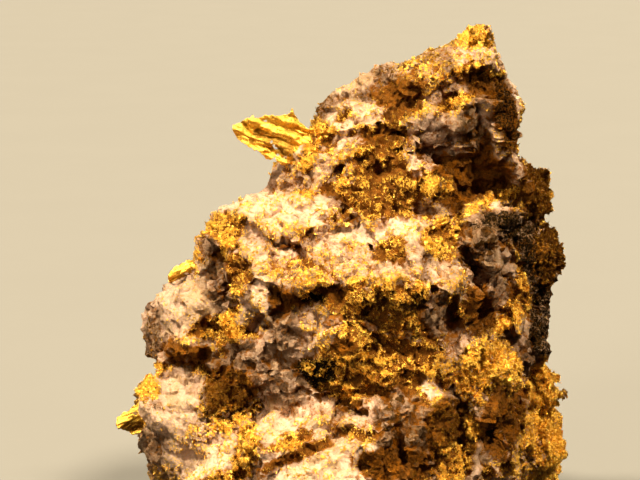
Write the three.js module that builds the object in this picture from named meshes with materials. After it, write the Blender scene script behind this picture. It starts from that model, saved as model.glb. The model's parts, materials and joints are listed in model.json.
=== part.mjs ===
// A hand-sized lump of milky vein quartz with native gold grown over and through it.
// Millimetres, +Z up. The origin is the middle of the flat trimmed base, and -Y is the display side.
//
// The quartz is a union of angular blocks and loose-edged lumps with broken hollows between them. One
// closed skin is drawn tight onto that union by rays sent out level from a curved spine, so that a ledge
// or an overhang is only a step in the reach of the rays. Each gold crust is a second skin, one gap above
// the quartz, and each gold leaf is a thin ragged sheet that stands out from it.

import * as THREE from 'three';
import { ConvexHull } from 'three/addons/math/ConvexHull.js';
import { ImprovedNoise } from 'three/addons/math/ImprovedNoise.js';

// ---------------------------------------------------------------- driving dimensions

const REACH = 80;          // longest ray, further out than any quartz
const RAY_STEP = 0.8;
const COLUMNS = 80;        // rays around the spine
const ROWS = 42;           // rays from the summit down to the edge of the base
const BASE_RINGS = 2;      // rings of the flat base inside that edge
const FRONT_BIAS = 0.3;    // how much closer the columns stand on the display side
const RAY_LEAN = 0.1;      // rays climb toward +X by this many radians, along the ledges
const JITTER = 0.33;       // share of a cell by which a ray strays, so that the skin is not a lattice
const FACET_SIZE = 13;     // width of the flat faces that the quartz breaks into
const FACET_TILT = 0.26;   // how far they lean out of the block's own face
const ROUGH_SIZE = 7;      // coarsest width of the sugary relief
const ROUGH = 0.7;         // its height

const QUARTZ = { color: 0xe6dccb, roughness: 0.55, metalness: 0.0 };
const GOLD = { color: 0xd9981f, roughness: 0.35, metalness: 1.0 };

// ---------------------------------------------------------------- quartz blocks, as their corners

const BLOCKS = {
  summit: [
    [-3, 2, 118], [-1, 2, 123], [8, 2, 126], [20, 0, 133], [28, -1, 135], [32, 0, 137], [35, 0, 136],
    [38, 1, 131], [39, 3, 123], [42, 4, 115], [1, -9, 113], [7, -13, 116], [13, -15, 118],
    [22, -15, 119], [26, -14, 119], [30, -11, 121], [12, -8, 126], [23, -9, 127], [33, -6, 130],
    [-3, 14, 118], [10, 18, 122], [24, 16, 130], [36, 12, 130], [43, 16, 116], [42, 18, 104],
    [10, 8, 108], [40, 6, 106],
  ],
  brow: [
    [6, -8, 122], [12, -11, 126], [23, -13, 128], [33, -9, 131], [37, -3, 132], [36, -3, 126],
    [24, -6, 122], [8, -4, 119], [20, 0, 131],
  ],
  rib: [
    [30, -10, 124], [34, -9, 118], [37, -8, 112], [39, -7, 105], [42, -5, 99], [44, 4, 118], [43, 3, 124],
    [34, 8, 124], [32, 6, 99],
  ],
  hollow_wall: [
    [14, -8, 115], [23, -7, 117], [33, -5, 119], [38, -3, 110], [38, -3, 101], [27, -9, 98], [12, -11, 103],
    [16, 20, 114], [42, 22, 108], [42, 20, 96], [20, 20, 96],
  ],
  spur: [
    [-17, -3, 99], [-15, -1, 104], [-8, 0, 112], [-6, 2, 119], [6, -13, 114], [11, -16, 114],
    [14, -17, 110], [18, -21, 104], [26, -22, 100], [25, -23, 95], [1, -24, 93], [-11, -12, 99],
    [-14, 12, 98], [-4, 14, 116], [13, 8, 116], [22, 10, 98],
  ],
  shelf: [
    [15, -25, 94], [24, -25, 95], [31, -22, 96], [42, -10, 98], [30, -8, 97], [42, 0, 99],
    [22, -26, 91], [42, -10, 94], [20, 10, 97], [44, 14, 99], [20, 10, 88], [44, 14, 88],
  ],
  boss: [
    [-25, -10, 97], [-11, -8, 101], [-2, -14, 99], [1, -22, 93], [-11, -27, 92], [-23, -21, 93],
    [-12, 8, 96], [-24, 8, 92], [-6, 0, 80],
  ],
  saddle: [
    [-29, -6, 95], [-20, -3, 96], [0, -22, 91], [-36, -8, 86], [-36, -12, 82], [-32, -21, 75],
    [-25, -29, 70], [-12, -37, 82], [-13, -31, 87], [-28, -20, 91],
    [-33, 8, 88], [-22, 14, 95], [-5, 14, 96], [-30, 10, 70], [0, 0, 70],
  ],
  bench: [
    [-15, -36, 81], [-13, -37, 84], [0, -42, 83], [8, -42, 85], [19, -43, 82], [27, -34, 87],
    [-11, -14, 94], [29, -14, 97], [0, -41, 81], [18, -41, 80], [26, -34, 82], [-10, 0, 80], [20, 0, 80],
  ],
  core: [
    [-16, -34, 82], [22, -36, 82], [-19, -34, 58], [10, -38, 62], [27, -36, 62], [-24, 28, 84],
    [26, 30, 88], [-30, 30, 50], [34, 32, 52], [-20, -26, 30], [20, -30, 30],
  ],
  left_boulder: [
    [-36, 0, 81], [-46, -2, 72], [-50, 0, 67], [-50, 0, 59], [-49, -4, 54], [-33, -15, 79],
    [-30, -19, 71], [-38, -21, 63], [-44, -15, 72], [-47, -12, 60], [-36, 16, 78], [-46, 16, 66],
    [-46, 18, 56], [-24, 0, 60], [-24, 14, 80],
  ],
  trough_floor: [
    [-40, -14, 62], [-30, -21, 66], [-22, -27, 68], [-16, -32, 60], [-24, -26, 50], [-40, -10, 50],
    [-20, 0, 70], [-20, 0, 48],
  ],
  lower_left: [
    [-45, -8, 55], [-51, -2, 49], [-51, 0, 44], [-55, 0, 38], [-55, 0, 34], [-50, -4, 28],
    [-31, -25, 60], [-28, -33, 46], [-40, -26, 47], [-44, -20, 30], [-27, -38, 36],
    [-48, 16, 48], [-52, 14, 36], [-48, 14, 26], [-20, 0, 60], [-20, 0, 26],
  ],
  lower_front: [
    [-28, -36, 42], [-24, -39, 43], [-4, -43, 52], [12, -41, 57], [20, -41, 55], [15, -45, 46],
    [-11, -48, 39], [12, -48, 37], [-34, -34, 36], [24, -38, 57], [29, -38, 36], [-24, -40, 20],
    [14, -44, 18], [30, -34, 20], [-24, 0, 50], [26, 0, 56], [-24, 0, 20], [26, 0, 20],
  ],
  right_wall: [
    [25, -36, 82], [27, -35, 61], [43, -13, 74], [39, -19, 64], [51, 2, 86], [52, 3, 72],
    [52, 2, 61], [49, 0, 55], [29, -28, 92], [44, -8, 89], [46, 20, 86], [48, 22, 66],
    [46, 22, 52], [20, 0, 60], [20, 0, 90],
  ],
  front_crust_seat: [
    [20, -38, 64], [24, -36, 67], [37, -26, 65], [44, -21, 60], [37, -29, 54], [22, -37, 54],
    [20, -10, 64], [42, -6, 58], [24, -10, 52],
  ],
  lower_right: [
    [37, -22, 54], [46, -3, 46], [51, 0, 36], [50, 0, 23], [29, -36, 34], [30, -33, 55], [42, -18, 34],
    [46, 18, 50], [50, 18, 34], [46, 16, 20], [20, 0, 60], [20, 0, 20],
  ],
  back_upper: [
    [-28, 26, 84], [10, 34, 92], [30, 28, 100], [42, 18, 110], [14, 22, 118], [-4, 16, 116],
    [-16, 14, 100], [28, 0, 100], [0, 0, 84],
  ],
  back_middle: [
    [-44, 12, 66], [-30, 32, 60], [-2, 40, 66], [28, 38, 58], [46, 20, 66], [-26, 28, 86],
    [10, 33, 92], [40, 24, 88], [-40, 18, 40], [0, 36, 36], [38, 30, 40],
  ],
  back_lower: [
    [-48, 12, 42], [-36, 32, 40], [-4, 42, 38], [26, 39, 44], [48, 18, 42], [-44, 14, 14],
    [-28, 32, 10], [4, 38, 8], [32, 32, 12], [46, 16, 16],
  ],
  foot: [
    [-50, 0, 28], [50, 0, 28], [0, 36, 30], [0, -42, 26], [-38, -28, -1], [-42, 0, -1], [-36, 24, -1],
    [0, 34, -1], [36, 28, -1], [46, 0, -1], [38, -26, -1], [0, -38, -1],
  ],
};

// Lumps that stand proud of the blocks: centre, half-sizes, and the seed of their broken corners.
const LUMPS = [
  { at: [-8, -5, 106], size: [6, 7, 6], seed: 4 },
  { at: [4, -15, 103], size: [7, 7, 8], seed: 5 },
  { at: [15, -18, 101], size: [7, 6, 6], seed: 6 },
  { at: [46, 8, 88], size: [5, 7, 4], seed: 7 },
  { at: [42, -14, 74], size: [5, 5, 7], seed: 8 },
  { at: [-20, -13, 94], size: [9, 8, 5], seed: 10 },
  { at: [-8, -15, 95], size: [8, 7, 5], seed: 11 },
  { at: [14, -30, 90], size: [8, 8, 4], seed: 12 },
  { at: [-38, -11, 71], size: [8, 8, 7], seed: 13 },
  { at: [-42, -13, 60], size: [6, 7, 5], seed: 33 },
  { at: [-42, -17, 48], size: [9, 9, 8], seed: 14 },
  { at: [-49, -4, 38], size: [6, 6, 6], seed: 15 },
  { at: [-20, -31, 64], size: [6, 6, 9], seed: 16 },
  { at: [2, -36, 68], size: [7, 5, 6], seed: 17 },
  { at: [-15, -40, 45], size: [9, 6, 5], seed: 19 },
  { at: [4, -43, 47], size: [9, 6, 5], seed: 20 },
  { at: [-31, -33, 34], size: [8, 8, 7], seed: 21 },
  { at: [44, -8, 62], size: [7, 7, 9], seed: 22 },
  { at: [45.5, -4, 51], size: [6, 6, 4], seed: 34 },
  { at: [44, -9, 34], size: [7, 8, 9], seed: 23 },
  { at: [34, -33, 26], size: [8, 7, 8], seed: 24 },
  { at: [10, 30, 96], size: [12, 9, 10], seed: 25 },
  { at: [36, 20, 96], size: [8, 9, 10], seed: 26 },
  { at: [-22, 28, 74], size: [12, 9, 11], seed: 27 },
  { at: [12, 37, 68], size: [13, 8, 12], seed: 28 },
  { at: [-36, 24, 40], size: [11, 11, 12], seed: 29 },
  { at: [0, 38, 34], size: [12, 9, 11], seed: 30 },
  { at: [36, 30, 46], size: [11, 10, 12], seed: 31 },
  { at: [26, 16, 120], size: [11, 7, 9], seed: 32 },
];

// Broken hollows: centre, half-sizes along the wall, into it and up, and the wall's bearing in degrees.
const HOLLOWS = [
  { at: [36, -25, 83], size: [8.5, 9, 13.5], bearing: 51 },  // alcove in the right wall
  { at: [19, -40, 72], size: [6, 4, 6], bearing: 10 },      // niche beside it
  { at: [-28, -34, 52], size: [6, 8, 9], bearing: -25 },    // gilded valley above the left foot
  { at: [38, -32, 45], size: [7, 9, 7], bearing: 45 },      // pit under the front crust
  { at: [16, -12, 123], size: [9, 4, 4], bearing: 5 },      // rusty dish in the summit face
  { at: [-33, -21, 71], size: [8, 5, 3.5], bearing: -30 },  // trough between boulder and foot
  { at: [4, -39, 73], size: [17, 4, 7], bearing: 0 },       // undercut below the bench
  { at: [-15, -34, 77], size: [5, 4, 5], bearing: -20 },    // pocket at its left end
  { at: [-33, -15, 81], size: [3, 4.5, 4.5], bearing: -30 },  // groove between the boulder and the saddle
  { at: [-29.5, -20, 75], size: [3, 5, 5.5], bearing: -30 },  // its lower end
];

// ---------------------------------------------------------------- gold

// Crusts on the quartz: the middle, how many grid cells wide and high each side of it, and how far the
// gold stands out there.
const CRUSTS = {
  gold_summit_cap: { at: [33, 1, 139], halfColumns: Infinity, halfRows: 1.7, thickness: 1.2 },
  gold_ear: { at: [44, 6, 97], halfColumns: 3.5, halfRows: 2.4, thickness: 8 },
  gold_knob: { at: [49, 6, 81], halfColumns: 3.5, halfRows: 2, thickness: 3.6 },
  gold_front: { at: [34, -30, 58], halfColumns: 3.4, halfRows: 2, thickness: 3 },
  gold_right_foot: { at: [51, -2, 35], halfColumns: 4, halfRows: 2.2, thickness: 6.2 },
  gold_valley: { at: [-27, -31, 51], halfColumns: 1.8, halfRows: 1.2, thickness: 0.9 },
};

const CRUST_GAP = 0.45;    // measured along the rays, so that the clearance across it is about 0.3
const CRUST_EDGE = 0.15;   // thickness at the rim, as a share of the middle
const CRUST_LUMP = 0.5;    // how lumpy the thickness is
const CRUST_LUMP_SIZE = 4;

// Leaves: stations along X with the heights of the lower and upper torn edge, the cells torn out of the
// middle, the middle's depth, the thickness, and the depth, width and slope of the creases.
const LEAVES = {
  gold_leaf: {
    stations: [[-27, 112.4, 115], [-23.5, 110.4, 116.8], [-20, 109, 117.2], [-17.5, 107, 117],
      [-15.6, 105.4, 117.4], [-13.2, 107.2, 118.8], [-11, 110.2, 116], [-8.8, 112.8, 114.6]],
    tears: [[7, 2], [9, 1]],
    depth: -3, thickness: 0.8, crease: 1.5, creaseWidth: 4.5, slope: -0.25,
  },
  gold_flap: {
    stations: [[-43.6, 74.8, 77.6], [-42, 76.4, 79.6], [-39, 77.6, 80], [-36.8, 79, 81.4]],
    tears: [],
    depth: -2, thickness: 0.8, crease: 0.6, creaseWidth: 4, slope: 0.5,
  },
  gold_curl: {
    stations: [[-56.8, 40.6, 42.4], [-55, 39.2, 43.6], [-52.8, 38.4, 45], [-50.6, 38.6, 46], [-48.6, 40, 45.6]],
    tears: [],
    depth: -9, thickness: 1, crease: 1.2, creaseWidth: 5, slope: 0.6,
  },
};

const LEAF_CELL = 1.5;    // width of a cell of a leaf
const LEAF_TOOTH = 0.5;   // how far its torn edge strays
const LEAF_CLEAR = 1.6;    // how far it keeps off the quartz as it bends over it
const LEAF_STEP = 0.2;    // in steps of this

// ---------------------------------------------------------------- the field: negative inside quartz

const noise = new ImprovedNoise();

function random(seed) {
  const s = Math.sin(seed * 127.1 + 311.7) * 43758.5453;
  return s - Math.floor(s);
}

function hullOf(corners) {
  return new ConvexHull().setFromPoints(corners);
}

function blockHull(corners) {
  return hullOf(corners.map((c) => new THREE.Vector3(...c)));
}

const LUMP_CORNERS = 16;

function lumpHull({ at, size, seed }) {
  const centre = new THREE.Vector3(...at);
  const corners = Array.from({ length: LUMP_CORNERS }, (_, i) => {
    const up = 1 - 2 * (i + 0.5) / LUMP_CORNERS;
    const turn = i * 2.4 + 6 * random(seed);
    const out = Math.sqrt(1 - up * up);
    return new THREE.Vector3(Math.cos(turn) * out, Math.sin(turn) * out, up)
      .multiplyScalar(0.85 + 0.3 * random(seed + 0.37 * i))
      .multiply(new THREE.Vector3(...size))
      .add(centre);
  });
  return hullOf(corners);
}

const hulls = [...Object.values(BLOCKS).map(blockHull), ...LUMPS.map(lumpHull)];

function depthInHull(hull, p) {
  let depth = -Infinity;
  for (const face of hull.faces) depth = Math.max(depth, face.distanceToPoint(p));
  return depth;
}

function depthInHollow({ at: [x, y, z], size: [a, b, c], bearing }, p) {
  const turn = THREE.MathUtils.degToRad(bearing);
  const along = (p.x - x) * Math.cos(turn) + (p.y - y) * Math.sin(turn);
  const into = (p.y - y) * Math.cos(turn) - (p.x - x) * Math.sin(turn);
  return (Math.hypot(along / a, into / b, (p.z - z) / c) - 1) * Math.min(a, b, c);
}

// Height of the tilted face that breaks the surface near p: each cell of a jittered grid has its own.
function facets(p, size) {
  const cell = [p.x, p.y, p.z].map((v) => Math.floor(v / size));
  let nearest = Infinity;
  let height = 0;
  for (let i = 0; i < 27; i++) {
    const c = [cell[0] + i % 3 - 1, cell[1] + Math.floor(i / 3) % 3 - 1, cell[2] + Math.floor(i / 9) - 1];
    const seed = c[0] * 7.13 + c[1] * 13.7 + c[2] * 29.3;
    const d = c.map((v, k) => [p.x, p.y, p.z][k] - (v + random(seed + k)) * size);
    const apart = Math.hypot(...d);
    if (apart < nearest) {
      nearest = apart;
      height = d.reduce((sum, v, k) => sum + v * (2 * random(seed + 5 + k) - 1), 0);
    }
  }
  return height;
}

function relief(p) {
  let sum = 0;
  for (let octave = 0, size = ROUGH_SIZE, height = ROUGH; octave < 2; octave++, size /= 2, height /= 2) {
    sum += height * noise.noise(p.x / size + 31.7, p.y / size + 11.3, p.z / size + 5.9);
  }
  return sum + FACET_TILT * facets(p, FACET_SIZE);
}

const RELIEF_DEPTH = 6;   // relief is only worked out this near to a block's face

function field(p) {
  let depth = Infinity;
  for (const hull of hulls) depth = Math.min(depth, depthInHull(hull, p));
  for (const hollow of HOLLOWS) depth = Math.max(depth, -depthInHollow(hollow, p));
  if (Math.abs(depth) < RELIEF_DEPTH) depth += relief(p);
  return Math.max(depth, -p.z);
}

// ---------------------------------------------------------------- the skin drawn onto the field

const spine = new THREE.CatmullRomCurve3([
  new THREE.Vector3(0, 0, 0),
  new THREE.Vector3(0, 0, 50),
  new THREE.Vector3(3, 0, 80),
  new THREE.Vector3(13, 3, 103),
  new THREE.Vector3(24, 4, 121),
  new THREE.Vector3(31, 3, 132),
]);

function surfaceAlong(origin, direction) {
  const p = new THREE.Vector3();
  const at = (reach) => field(p.copy(direction).multiplyScalar(reach).add(origin));
  let outer = REACH;
  while (outer > RAY_STEP && at(outer - RAY_STEP) > 0) outer -= RAY_STEP;
  let inner = outer - RAY_STEP;
  for (let i = 0; i < 14; i++) {
    const middle = (inner + outer) / 2;
    if (at(middle) > 0) outer = middle;
    else inner = middle;
  }
  at((inner + outer) / 2);
  return p;
}

const CROWN = 0.12;      // share of the rows that fan up over the summit
const LEAN_HEIGHT = 12;  // the lean of the rays fades out below this

// The ray of a grid cell: column and row may be fractions.
function rayAt(column, row) {
  const around = 2 * Math.PI * column / COLUMNS;
  const bearing = around - FRONT_BIAS * Math.cos(around);
  const down = row / ROWS;
  const origin = spine.getPoint(1 - Math.max(0, (down - CROWN) / (1 - CROWN)));
  const fan = Math.max(0, (CROWN - down) / CROWN);
  const lean = RAY_LEAN * (1 - fan) * Math.min(1, origin.z / LEAN_HEIGHT) * Math.cos(bearing);
  const elevation = fan * Math.PI / 2 + lean;
  const direction = new THREE.Vector3(Math.cos(bearing), Math.sin(bearing), 0)
    .multiplyScalar(Math.cos(elevation))
    .setZ(Math.sin(elevation));
  return { origin, direction };
}

const lastRow = ROWS + BASE_RINGS;
const vertexIndex = (column, row) => 1 + (row - 1) * COLUMNS + (column + 2 * COLUMNS) % COLUMNS;

// The skin as one list of vertices from the summit to the middle of the base, each with its ray's direction.
function castSkin() {
  const stray = (column, row, k) => JITTER * (2 * random(column * 3.7 + row * 11.9 + k) - 1);
  const cast = (column, row) => {
    const { origin, direction } = rayAt(column, row);
    return { point: surfaceAlong(origin, direction), direction };
  };
  const skin = [cast(0, 0)];
  for (let row = 1; row < ROWS; row++) {
    for (let column = 0; column < COLUMNS; column++) {
      skin.push(cast(column + stray(column, row, 0), row + stray(column, row, 40)));
    }
  }
  const rim = Array.from({ length: COLUMNS }, (_, column) => cast(column, ROWS).point.setZ(0));
  for (let ring = 0; ring <= BASE_RINGS; ring++) {
    skin.push(...rim.map((p) => ({ point: p.clone().multiplyScalar(1 - ring / (BASE_RINGS + 1)) })));
  }
  skin.push({ point: new THREE.Vector3() });
  return skin;
}

// The triangles of a grid cell: one at the summit, else two split along the diagonal nearer to the quartz.
function cellTriangles(skin, column, row) {
  const [a, b, c, d] = [[0, 0], [1, 0], [1, 1], [0, 1]].map(([i, j]) => vertexIndex(column + i, row + j));
  if (row === 0) return [0, d, c];
  const miss = (i, j) => Math.abs(field(skin[i].point.clone().lerp(skin[j].point, 0.5)));
  return miss(a, c) < miss(b, d) ? [a, d, c, a, c, b] : [a, d, b, b, d, c];
}

function meshOf(points, index) {
  const geometry = new THREE.BufferGeometry().setFromPoints(points);
  geometry.setIndex(index);
  geometry.computeVertexNormals();
  return geometry;
}

function quartzGeometry(skin) {
  const index = [];
  for (let column = 0; column < COLUMNS; column++) {
    for (let row = 0; row < lastRow; row++) index.push(...cellTriangles(skin, column, row));
    index.push(skin.length - 1, vertexIndex(column + 1, lastRow), vertexIndex(column, lastRow));
  }
  return meshOf(skin.map((vertex) => vertex.point), index);
}

// ---------------------------------------------------------------- gold on the skin and off it

function nearestCell(skin, at) {
  const apart = skin.map(({ point }) => point.distanceTo(new THREE.Vector3(...at)));
  const nearest = apart.indexOf(Math.min(...apart));
  return { column: (nearest - 1 + COLUMNS) % COLUMNS, row: Math.ceil(nearest / COLUMNS) };
}

// A crust stands on the skin's own triangles and grows out along their rays, so it cannot cut the quartz.
function crustGeometry(skin, { at, halfColumns, halfRows, thickness }) {
  const middle = nearestCell(skin, at);
  const spread = (column, row) =>
    Math.hypot((column - middle.column) / halfColumns, (row - middle.row) / halfRows);
  const number = new Map();
  const inner = [];
  const outer = [];
  const faces = [];
  const grow = (column, row) => {
    const i = row === 0 ? 0 : vertexIndex(column, row);
    if (number.has(i)) return;
    number.set(i, inner.length);
    const { point, direction } = skin[i];
    const swell = Math.max(0, 1 - spread(column, row) ** 2);
    const lump = noise.noise(...point.clone().divideScalar(CRUST_LUMP_SIZE));
    const rise = thickness * (CRUST_EDGE + (1 - CRUST_EDGE) * swell) * (1 + CRUST_LUMP * lump);
    inner.push(point.clone().addScaledVector(direction, CRUST_GAP));
    outer.push(point.clone().addScaledVector(direction, CRUST_GAP + rise));
  };
  for (let row = 0; row < ROWS - 1; row++) {
    for (let column = middle.column - COLUMNS / 2; column < middle.column + COLUMNS / 2; column++) {
      if (spread(column + 0.5, row + 0.5) > 1) continue;
      for (const [c, r] of [[0, 0], [1, 0], [1, 1], [0, 1]]) grow(column + c, row + r);
      faces.push(...cellTriangles(skin, column, row));
    }
  }
  const top = faces.map((i) => number.get(i) + inner.length);
  const bottom = faces.map((i) => number.get(i)).reverse();
  return meshOf([...inner, ...outer], [...top, ...bottom, ...rimFaces(top, inner.length)]);
}

// A wall of two triangles down from every edge of the top sheet that has no neighbour.
function rimFaces(top, drop) {
  const edges = new Set();
  for (let t = 0; t < top.length; t += 3) {
    for (let k = 0; k < 3; k++) edges.add(`${top[t + k]} ${top[t + (k + 1) % 3]}`);
  }
  const rim = [];
  for (const edge of edges) {
    const [i, j] = edge.split(' ').map(Number);
    if (!edges.has(`${j} ${i}`)) rim.push(j, i, i - drop, j, i - drop, j - drop);
  }
  return rim;
}

function leafGeometry({ stations, tears, depth, thickness, crease, creaseWidth, slope }) {
  const first = stations[0][0];
  const span = stations.at(-1)[0] - first;
  const tallest = Math.max(...stations.map(([, low, high]) => high - low));
  const columns = Math.round(span / LEAF_CELL);
  const rows = Math.round(tallest / LEAF_CELL / 1.2);
  const front = [];
  const back = [];
  for (let column = 0; column <= columns; column++) {
    const x = first + span * column / columns;
    const next = Math.max(1, stations.findIndex(([at]) => at >= x));
    const [[x0, low0, high0], [x1, low1, high1]] = [stations[next - 1], stations[next]];
    const share = THREE.MathUtils.clamp((x - x0) / (x1 - x0), 0, 1);
    const low = THREE.MathUtils.lerp(low0, low1, share) + LEAF_TOOTH * (2 * random(column) - 1);
    const high = THREE.MathUtils.lerp(high0, high1, share) + LEAF_TOOTH * (2 * random(column + 50) - 1);
    for (let row = 0; row <= rows; row++) {
      const z = THREE.MathUtils.lerp(low, high, row / rows);
      const point = new THREE.Vector3(x, depth + thickness, z);
      point.y += crease * Math.sin(2 * Math.PI * (z - slope * x) / creaseWidth);
      while (field(point) < LEAF_CLEAR) point.y -= LEAF_STEP;
      back.push(point);
      front.push(point.clone().setY(point.y - thickness));
    }
  }
  const faces = [];
  for (let column = 0; column < columns; column++) {
    for (let row = 0; row < rows; row++) {
      if (tears.some(([c, r]) => c === column && r === row)) continue;
      const a = column * (rows + 1) + row;
      const b = a + rows + 1;
      faces.push(a, b, b + 1, a, b + 1, a + 1);
    }
  }
  const top = faces.map((i) => i + back.length);
  return meshOf([...back, ...front], [...top, ...faces.reverse(), ...rimFaces(top, back.length)]);
}

// ---------------------------------------------------------------- the object

const group = new THREE.Group();

function add(name, geometry, look) {
  const mesh = new THREE.Mesh(geometry, new THREE.MeshStandardMaterial(look));
  mesh.name = name;
  group.add(mesh);
}

const skin = castSkin();
add('quartz', quartzGeometry(skin), QUARTZ);
for (const [name, crust] of Object.entries(CRUSTS)) add(name, crustGeometry(skin, crust), GOLD);
for (const [name, leaf] of Object.entries(LEAVES)) add(name, leafGeometry(leaf), GOLD);

export default group;
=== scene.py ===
"""Gold nugget: the looks of a craggy lump of gold in quartz, dressed over its CAD frame."""

import itertools
import json
import math
from types import SimpleNamespace

import bmesh
import bpy
import numpy as np
from bpy.props import FloatProperty, FloatVectorProperty, IntProperty, PointerProperty
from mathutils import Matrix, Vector
from mathutils.bvhtree import BVHTree

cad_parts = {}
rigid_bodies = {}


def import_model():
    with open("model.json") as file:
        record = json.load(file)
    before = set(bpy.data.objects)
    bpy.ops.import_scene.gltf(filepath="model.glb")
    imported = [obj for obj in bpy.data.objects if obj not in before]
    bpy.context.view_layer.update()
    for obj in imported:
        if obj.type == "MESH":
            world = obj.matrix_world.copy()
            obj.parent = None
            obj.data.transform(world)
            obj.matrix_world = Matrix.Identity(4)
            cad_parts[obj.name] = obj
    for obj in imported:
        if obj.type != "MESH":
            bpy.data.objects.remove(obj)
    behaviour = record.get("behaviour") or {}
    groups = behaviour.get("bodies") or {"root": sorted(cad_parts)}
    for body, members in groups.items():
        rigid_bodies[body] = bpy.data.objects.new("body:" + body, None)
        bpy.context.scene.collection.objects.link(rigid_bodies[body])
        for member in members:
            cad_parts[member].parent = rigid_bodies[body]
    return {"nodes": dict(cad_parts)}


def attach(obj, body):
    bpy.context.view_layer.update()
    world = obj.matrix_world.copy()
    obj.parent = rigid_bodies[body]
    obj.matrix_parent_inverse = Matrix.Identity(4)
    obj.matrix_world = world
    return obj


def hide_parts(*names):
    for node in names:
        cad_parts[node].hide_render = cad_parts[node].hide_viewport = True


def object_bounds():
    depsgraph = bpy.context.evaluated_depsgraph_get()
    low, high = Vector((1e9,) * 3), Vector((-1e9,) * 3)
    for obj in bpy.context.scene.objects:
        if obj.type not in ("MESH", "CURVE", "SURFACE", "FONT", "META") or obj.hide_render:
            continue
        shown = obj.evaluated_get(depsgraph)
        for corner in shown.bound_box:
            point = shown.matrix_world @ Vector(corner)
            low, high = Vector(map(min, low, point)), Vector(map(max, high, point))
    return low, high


bl_info = {
    "name": "Gold nugget in quartz",
    "version": (1, 0, 0),
    "blender": (4, 5, 0),
    "location": "View3D > Sidebar > Nugget",
    "description": "Builds a craggy lump of quartz with its gold crusts, leaves and grains",
    "category": "Object",
}

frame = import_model()
CAD_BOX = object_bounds()
MM = 0.001
MM_IN_METRE = 1000.0
LEVELS = ("gold", "rust", "soot", "smoke")
GOLD, RUST, SMOKE = map(LEVELS.index, ("gold", "rust", "smoke"))

# ---------------------------------------------------------------- the display face
# Places on the display face are given in mm, across and up, as the lump is seen from the front: from
# EYE_REACH mm away, and from an angle of EYE_HEIGHT above the level of its middle.

EYE_HEIGHT = math.radians(12)
EYE_REACH = 444.0
FACE_CENTRE = (-6.0, 0.0, 86.0)

# How much of each of the LEVELS the stone shows, from 0 to 1.
FINISHES = {
    "white": (0.38, 0.03, 0.00, 0.02),
    "pale": (0.30, 0.06, 0.00, 0.26),
    "cream": (0.40, 0.20, 0.02, 0.08),
    "weathered": (0.48, 0.30, 0.06, 0.45),
    "dusty": (0.38, 0.24, 0.04, 0.75),
    "strewn": (0.50, 0.36, 0.05, 0.08),
    "dim": (0.56, 0.90, 0.36, 1.00),
    "crusted": (0.66, 0.70, 0.20, 0.15),
    "gilded": (1.00, 0.40, 0.00, 0.00),
    "rusty": (0.42, 0.95, 0.32, 0.25),
    "brown": (0.32, 0.80, 0.42, 0.85),
    "smoky": (0.15, 0.28, 0.22, 1.00),
    "stained": (0.30, 1.00, 0.36, 0.50),
    "grey": (0.16, 0.22, 0.12, 0.85),
    "amber": (0.12, 0.75, 0.34, 1.00),
    "sooty": (0.45, 0.60, 0.95, 0.30),
    # The dark finish is painted shade on faces that lie in shade, over dark brown stone on the right flank.
    "dark": (0.24, 0.26, 0.70, 1.00),
    "glassy": (0.12, 0.22, 0.04, 0.34),
    # The hollow finish is rust and smoky stone, and painted shade inside pits and caves.
    "hollow": (0.20, 0.80, 0.45, 0.95),
    "shady": (0.26, 0.75, 0.62, 1.00),
}

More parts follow.
